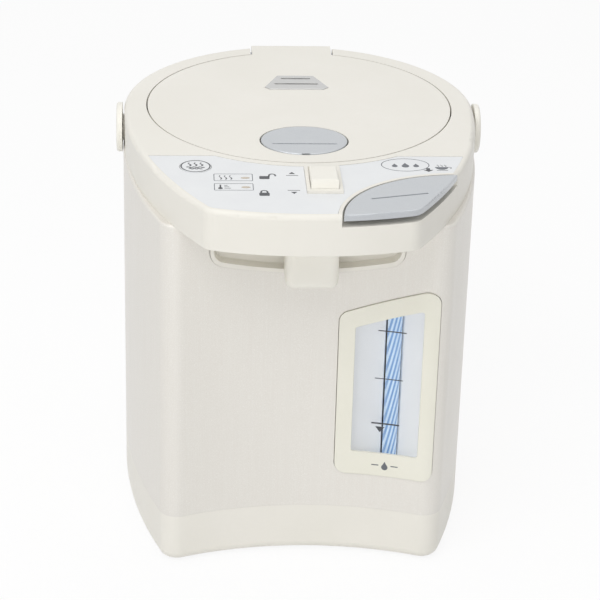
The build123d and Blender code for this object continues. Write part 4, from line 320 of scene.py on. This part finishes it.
# ---------------------------------------------------------------- meshes
def piece(name, mesh, material, body):
    """Turn a bmesh in millimetres into a piece that rides on a body."""
    bmesh.ops.scale(mesh, vec=(MM, MM, MM), verts=mesh.verts)
    bmesh.ops.recalc_face_normals(mesh, faces=mesh.faces)
    data = bpy.data.meshes.new(name)
    mesh.to_mesh(data)
    mesh.free()
    made = bpy.data.objects.new(name, data)
    bpy.context.scene.collection.objects.link(made)
    made.data.materials.append(material)
    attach(made, body)
    return made


def stroke(mesh, points, width, closed=False, end=1.0):
    """A flat line of constant width through points on the plan, narrowing to end times its width."""
    points = [Vector(p) for p in points]
    count = len(points)
    sides = []
    for i, point in enumerate(points):
        before = points[i - 1] if i or closed else point
        after = points[(i + 1) % count] if i < count - 1 or closed else point
        run_in = (point - before).normalized()
        run_out = (after - point).normalized()
        along = (run_in + run_out).normalized()
        across = Vector((-along.y, along.x))
        stretch = 1 / max(0.5, along.dot(run_out if run_out.length else run_in))
        half = width / 2 * stretch * (1 + (end - 1) * i / max(count - 1, 1))
        sides.append([mesh.verts.new((*(point + across * half * s), 0)) for s in (-1, 1)])
    for i in range(count if closed else count - 1):
        first, second = sides[i], sides[(i + 1) % count]
        mesh.faces.new((first[0], first[1], second[1], second[0]))


def patch(mesh, points):
    """A flat filled outline on the plan."""
    mesh.faces.new([mesh.verts.new((x, y, 0)) for x, y in points])


def oval(centre, half_width, half_depth, start=0.0, end=360.0, steps=48):
    """Points round an ellipse, from start to end in degrees."""
    turn = [radians(start + (end - start) * i / steps) for i in range(steps + (abs(end - start) < 360))]
    return [(centre[0] + half_width * cos(a), centre[1] + half_depth * sin(a)) for a in turn]


def rounded_box(left, right, low, high, corner, steps=5):
    """Points round a rectangle with round corners."""
    corners = ((right - corner, high - corner, 0), (left + corner, high - corner, 90),
               (left + corner, low + corner, 180), (right - corner, low + corner, 270))
    return [(x + corner * cos(radians(turn + 90 * i / steps)),
             y + corner * sin(radians(turn + 90 * i / steps)))
            for x, y, turn in corners for i in range(steps + 1)]


def steam(mesh, x, low, high, sway, width):
    """A wisp of steam: an upright S that narrows upwards."""
    points = [(x + sway * sin(2 * pi * i / 16), low + (high - low) * i / 16) for i in range(17)]
    stroke(mesh, points, width, end=0.4)


def drop(mesh, x, y, size):
    """A drop of water: a round bottom that runs up to a point."""
    outline = oval((x, y), size, size, 150, 390, 20)
    shoulder = y + size * 1.25
    patch(mesh, outline + [(x + size * 0.4, shoulder), (x, y + size * 2.1), (x - size * 0.4, shoulder)])


def padlock(mesh, x, y, size, opened):
    """A padlock with its shackle shut, or swung to the side."""
    patch(mesh, rounded_box(x - size, x + size, y - size * 0.75, y + size * 0.75, size * 0.25))
    swing = size * 1.55 if opened else 0.0
    arch = oval((x + swing, y + size * 1.1), size * 0.62, size * 0.7, 0, 180, 14)
    legs = [(x + swing + size * 0.62, y + size * 0.7)] + arch
    legs.append((x + swing - size * 0.62, y + size * (0.75 if not opened else 0.55)))
    stroke(mesh, legs, size * 0.34)


def lay_on(mesh, height):
    """Lift a flat print to its height, and give it the thickness of ink."""
    faces = list(mesh.faces)
    made = bmesh.ops.extrude_face_region(mesh, geom=faces)
    top = [v for v in made["geom"] if isinstance(v, bmesh.types.BMVert)]
    bmesh.ops.translate(mesh, vec=(0, 0, INK / 2), verts=top)
    bmesh.ops.translate(mesh, vec=(0, 0, height + INK / 2), verts=mesh.verts)


def printed(name, draw, height=LABEL_TOP, material=BLACK_INK, body="pot"):
    """A flat print drawn on the plan by draw(mesh)."""
    mesh = bmesh.new()
    draw(mesh)
    lay_on(mesh, height)
    return piece(name, mesh, material, body)


def front_y(x, inset):
    """Where the hollow front face is, at x and moved in by inset."""
    return FRONT_CENTRE_Y + sqrt((FRONT_RADIUS + inset) ** 2 - x * x)


def wrap_front(mesh, inset):
    """Stand a drawing made on the plan (x, height) up and bend it to the front face."""
    for vert in mesh.verts:
        x, z, lift = vert.co
        vert.co = Vector((x, front_y(x, inset) - lift, z))


# ---------------------------------------------------------------- prints on the control panel
DISPENSE_SIGN = (56.5, -95.5)


def draw_reboil(mesh):
    stroke(mesh, oval(REBOIL, 8.3, 8.3), 0.8, closed=True)
    for i in range(3):
        steam(mesh, REBOIL[0] - 3.4 + 3.4 * i, REBOIL[1] + 0.4, REBOIL[1] + 5.2, 0.7, 1.15)
    for i in range(2):
        level = REBOIL[1] - 1.6 - 2.2 * i
        half = 5.2 - 1.4 * i
        wave = [(REBOIL[0] - half + 2 * half * j / 20, level + 0.45 * sin(2 * pi * j / 6.6))
                for j in range(21)]
        stroke(mesh, wave, 1.0)


def draw_dispense(mesh):
    stroke(mesh, oval(DISPENSE_SIGN, 13.8, 9.2), 0.5, closed=True)
    for i, size in ((-1, 1.7), (0, 2.2), (1, 1.7)):
        drop(mesh, DISPENSE_SIGN[0] + 6.2 * i, DISPENSE_SIGN[1] - 1.6, size)


def draw_cup(mesh):
    left, right, rim, foot = 73.4, 81.2, -98.6, -102.4
    bowl = oval(((left + right) / 2, rim), (right - left) / 2, rim - foot, 180, 360, 20)
    patch(mesh, bowl)
    stroke(mesh, [(left + 0.6, foot - 0.9), (right - 0.6, foot - 0.9)], 0.6)
    stroke(mesh, oval((right + 0.2, rim - 1.2), 1.5, 1.0, -70, 100, 12), 0.5)
    for x in (75.4, 77.5, 79.6):
        steam(mesh, x, rim + 0.8, rim + 3.4, 0.45, 0.6)


def draw_arrow(mesh):
    tip_x, tip_y = 69.2, -105.6
    patch(mesh, [(tip_x, tip_y), (tip_x + 3.0, tip_y + 2.8), (tip_x + 1.1, tip_y + 2.8),
                 (tip_x + 1.1, tip_y + 5.4), (tip_x - 1.1, tip_y + 5.4), (tip_x - 1.1, tip_y + 2.8),
                 (tip_x - 3.0, tip_y + 2.8)])


def draw_lamp_boxes(mesh):
    for centre_y, half in zip((-114.6, -128.3), (4.9, 4.7)):
        stroke(mesh, rounded_box(-54.2, -32.4, centre_y - half, centre_y + half, 0.6), 0.45, closed=True)


def draw_boil_sign(mesh):
    for i in range(3):
        steam(mesh, -50.6 + 2.9 * i, -117.6, -111.6, 0.6, 0.8)


def draw_warm_sign(mesh):
    patch(mesh, oval((-50.8, -130.2), 1.35, 1.35, 0, 360, 20))
    stroke(mesh, [(-50.8, -129.6), (-50.8, -125.2)], 0.9)
    for i in range(3):
        stroke(mesh, [(-48.6, -130.2 + 2.0 * i), (-45.0 - 0.9 * i, -130.2 + 2.0 * i)], 0.55)


def draw_unlock(mesh):
    padlock(mesh, -25.6, -114.8, 2.9, True)
    stroke(mesh, [(-13.2, -111.6), (-6.2, -111.6)], 0.6)
    patch(mesh, [(-9.7, -106.6), (-7.9, -109.4), (-11.5, -109.4)])


def draw_lock(mesh):
    padlock(mesh, -26.4, -138.6, 2.9, False)
    stroke(mesh, [(-13.2, -133.0), (-6.2, -133.0)], 0.6)
    patch(mesh, [(-9.7, -138.0), (-11.5, -135.2), (-7.9, -135.2)])


printed("reboil_sign", draw_reboil, BUTTON_TOP, BLACK_INK, "reboil")
printed("dispense_sign", draw_dispense, material=GREY_INK)
printed("cup_sign", draw_cup, material=GREY_INK)
printed("press_arrow", draw_arrow)
printed("lamp_boxes", draw_lamp_boxes, material=GREY_INK)
printed("boil_sign", draw_boil_sign)
printed("warm_sign", draw_warm_sign)
printed("unlock_sign", draw_unlock)
printed("lock_sign", draw_lock)

# ---------------------------------------------------------------- level window
LEVELS = (("level_full", 154.5, 43.0, 59.2, 0.75), ("level_half", 122.8, 42.2, 58.4, 0.6),
          ("level_refill", 92.4, 41.2, 57.6, 1.0))
for mark_name, height, left, right, width in LEVELS:
    sheet = bmesh.new()
    stroke(sheet, [(left + (right - left) * i / 12, height) for i in range(13)], width)
    if mark_name == "level_refill":
        patch(sheet, [(46.4, 86.4), (49.2, 90.2), (43.6, 90.2)])
    wrap_front(sheet, PANE_SINK - INK)
    piece(mark_name, sheet, BLACK_INK, "pot")

# Below the pane: a plain drop between two short lines
DROP_MARK = (50.0, 63.2)
DASH_HEIGHT = 64.4
DASH_STARTS = (42.2, 53.6)
DASH_STEP = 1.05
sheet = bmesh.new()
drop(sheet, *DROP_MARK, 1.9)
for left in DASH_STARTS:
    stroke(sheet, [(left + DASH_STEP * i, DASH_HEIGHT) for i in range(5)], 0.7)
wrap_front(sheet, -FRAME_PROUD - INK)
piece("water_mark", sheet, GREY_INK, "pot")

# The water in the gauge tube, with the stripes that show through it
COLUMN_RADIUS = GAUGE_BORE - 0.12
COLUMN_LOW = 60.0
COLUMN_HIGH = 176.0
column = bmesh.new()
rings = []
for level in range(25):
    z = COLUMN_LOW + (COLUMN_HIGH - COLUMN_LOW) * level / 24
    rings.append([column.verts.new((GAUGE_X + x, GAUGE_Y + y, z))
                  for x, y in oval((0, 0), COLUMN_RADIUS, COLUMN_RADIUS, 0, 360, 32)])
for lower, upper in zip(rings, rings[1:]):
    for i in range(32):
        j = (i + 1) % 32
        column.faces.new((lower[i], lower[j], upper[j], upper[i])).smooth = True
for ring, bulge in ((rings[0], -0.4), (rings[-1], -0.6)):
    middle = column.verts.new((GAUGE_X, GAUGE_Y, ring[0].co.z + bulge))
    for i in range(32):
        column.faces.new((ring[i], ring[(i + 1) % 32], middle)).smooth = True
piece("gauge_water", column, WATER, "pot")

# ---------------------------------------------------------------- camera, floor and lights
CAMERA_PLACE = (-78.0, -1270.77, 739.95)
CAMERA_YAW = radians(3.693)
CAMERA_PITCH = radians(26.103)
CAMERA_ROLL = radians(-1.617)
CAMERA_LENS = 132.62


def add_camera():
    forward = Vector((sin(CAMERA_YAW) * cos(CAMERA_PITCH), cos(CAMERA_YAW) * cos(CAMERA_PITCH),
                      -sin(CAMERA_PITCH)))
    level = Vector((cos(CAMERA_YAW), -sin(CAMERA_YAW), 0))
    down = forward.cross(level)
    right = level * cos(CAMERA_ROLL) + down * sin(CAMERA_ROLL)
    down = level * -sin(CAMERA_ROLL) + down * cos(CAMERA_ROLL)
    turn = Matrix((right, -down, -forward)).transposed()
    data = bpy.data.cameras.new("camera")
    data.lens = CAMERA_LENS
    data.sensor_width = 36
    data.sensor_fit = "AUTO"
    data.clip_start = 0.05
    camera = bpy.data.objects.new("camera", data)
    camera.matrix_world = Matrix.Translation(Vector(CAMERA_PLACE) * MM) @ turn.to_4x4()
    bpy.context.scene.collection.objects.link(camera)
    bpy.context.scene.camera = camera


def add_lamp(name, place, aim, width, height, power, colour=(1, 1, 1)):
    data = bpy.data.lights.new(name, "AREA")
    data.shape = "RECTANGLE"
    data.size = width
    data.size_y = height
    data.energy = power
    data.color = colour
    lamp = bpy.data.objects.new(name, data)
    lamp.location = place
    lamp.rotation_euler = (Vector(aim) - Vector(place)).to_track_quat("-Z", "Y").to_euler()
    bpy.context.scene.collection.objects.link(lamp)


def seen_directly(tree):
    """1 for rays from the camera, off a glossy surface or through a clear one, else 0."""
    path = tree.nodes.new("ShaderNodeLightPath")
    total = path.outputs["Is Camera Ray"]
    for name in ("Is Glossy Ray", "Is Transmission Ray"):
        either = tree.nodes.new("ShaderNodeMath")
        either.operation = "MAXIMUM"
        tree.links.new(total, either.inputs[0])
        tree.links.new(path.outputs[name], either.inputs[1])
        total = either.outputs[0]
    return total


def add_floor():
    sheet = bmesh.new()
    bmesh.ops.create_grid(sheet, x_segments=24, y_segments=24, size=6.0)
    data = bpy.data.meshes.new("floor")
    sheet.to_mesh(data)
    sheet.free()
    floor = bpy.data.objects.new("floor", data)
    bpy.context.scene.collection.objects.link(floor)
    made = Finish("floor_white", Roughness=0.9, Specular_IOR_Level=0.1)
    made.colour(made.mix(made.spread(made.noise(400, 2), 0, 1), srgb(240, 240, 240), srgb(237, 237, 237)))
    glow = made.node("ShaderNodeEmission")
    glow.inputs["Strength"].default_value = 1.03
    layer = made.node("ShaderNodeMixShader")
    share = made.math("MULTIPLY", seen_directly(made.tree), 0.85)
    made.link(share, layer.inputs[0])
    made.link(made.shader.outputs[0], layer.inputs[1])
    made.link(glow.outputs[0], layer.inputs[2])
    made.link(layer.outputs[0], made.output.inputs["Surface"])
    floor.data.materials.append(made.material)


def add_world():
    world = bpy.data.worlds.new("studio")
    world.use_nodes = True
    bpy.context.scene.world = world
    tree = world.node_tree
    back = tree.nodes["Background"]
    back.inputs["Color"].default_value = (1, 1, 1, 1)
    level = tree.nodes.new("ShaderNodeMapRange")
    tree.links.new(seen_directly(tree), level.inputs["Value"])
    level.inputs["To Min"].default_value = 0.50
    level.inputs["To Max"].default_value = 1.0
    tree.links.new(level.outputs[0], back.inputs["Strength"])


bpy.context.scene.view_settings.view_transform = "Standard"
add_camera()
add_floor()
add_world()
add_lamp("key", (-0.60, -0.95, 1.55), (0, -0.02, 0.14), 1.1, 0.8, 9.6)
add_lamp("front", (-0.30, -1.95, 0.50), (0, 0, 0.14), 1.3, 0.7, 6.3)
add_lamp("top", (0.1, 0.3, 1.6), (0, 0, 0.2), 1.2, 1.2, 4.4)

bpy.context.view_layer.update()
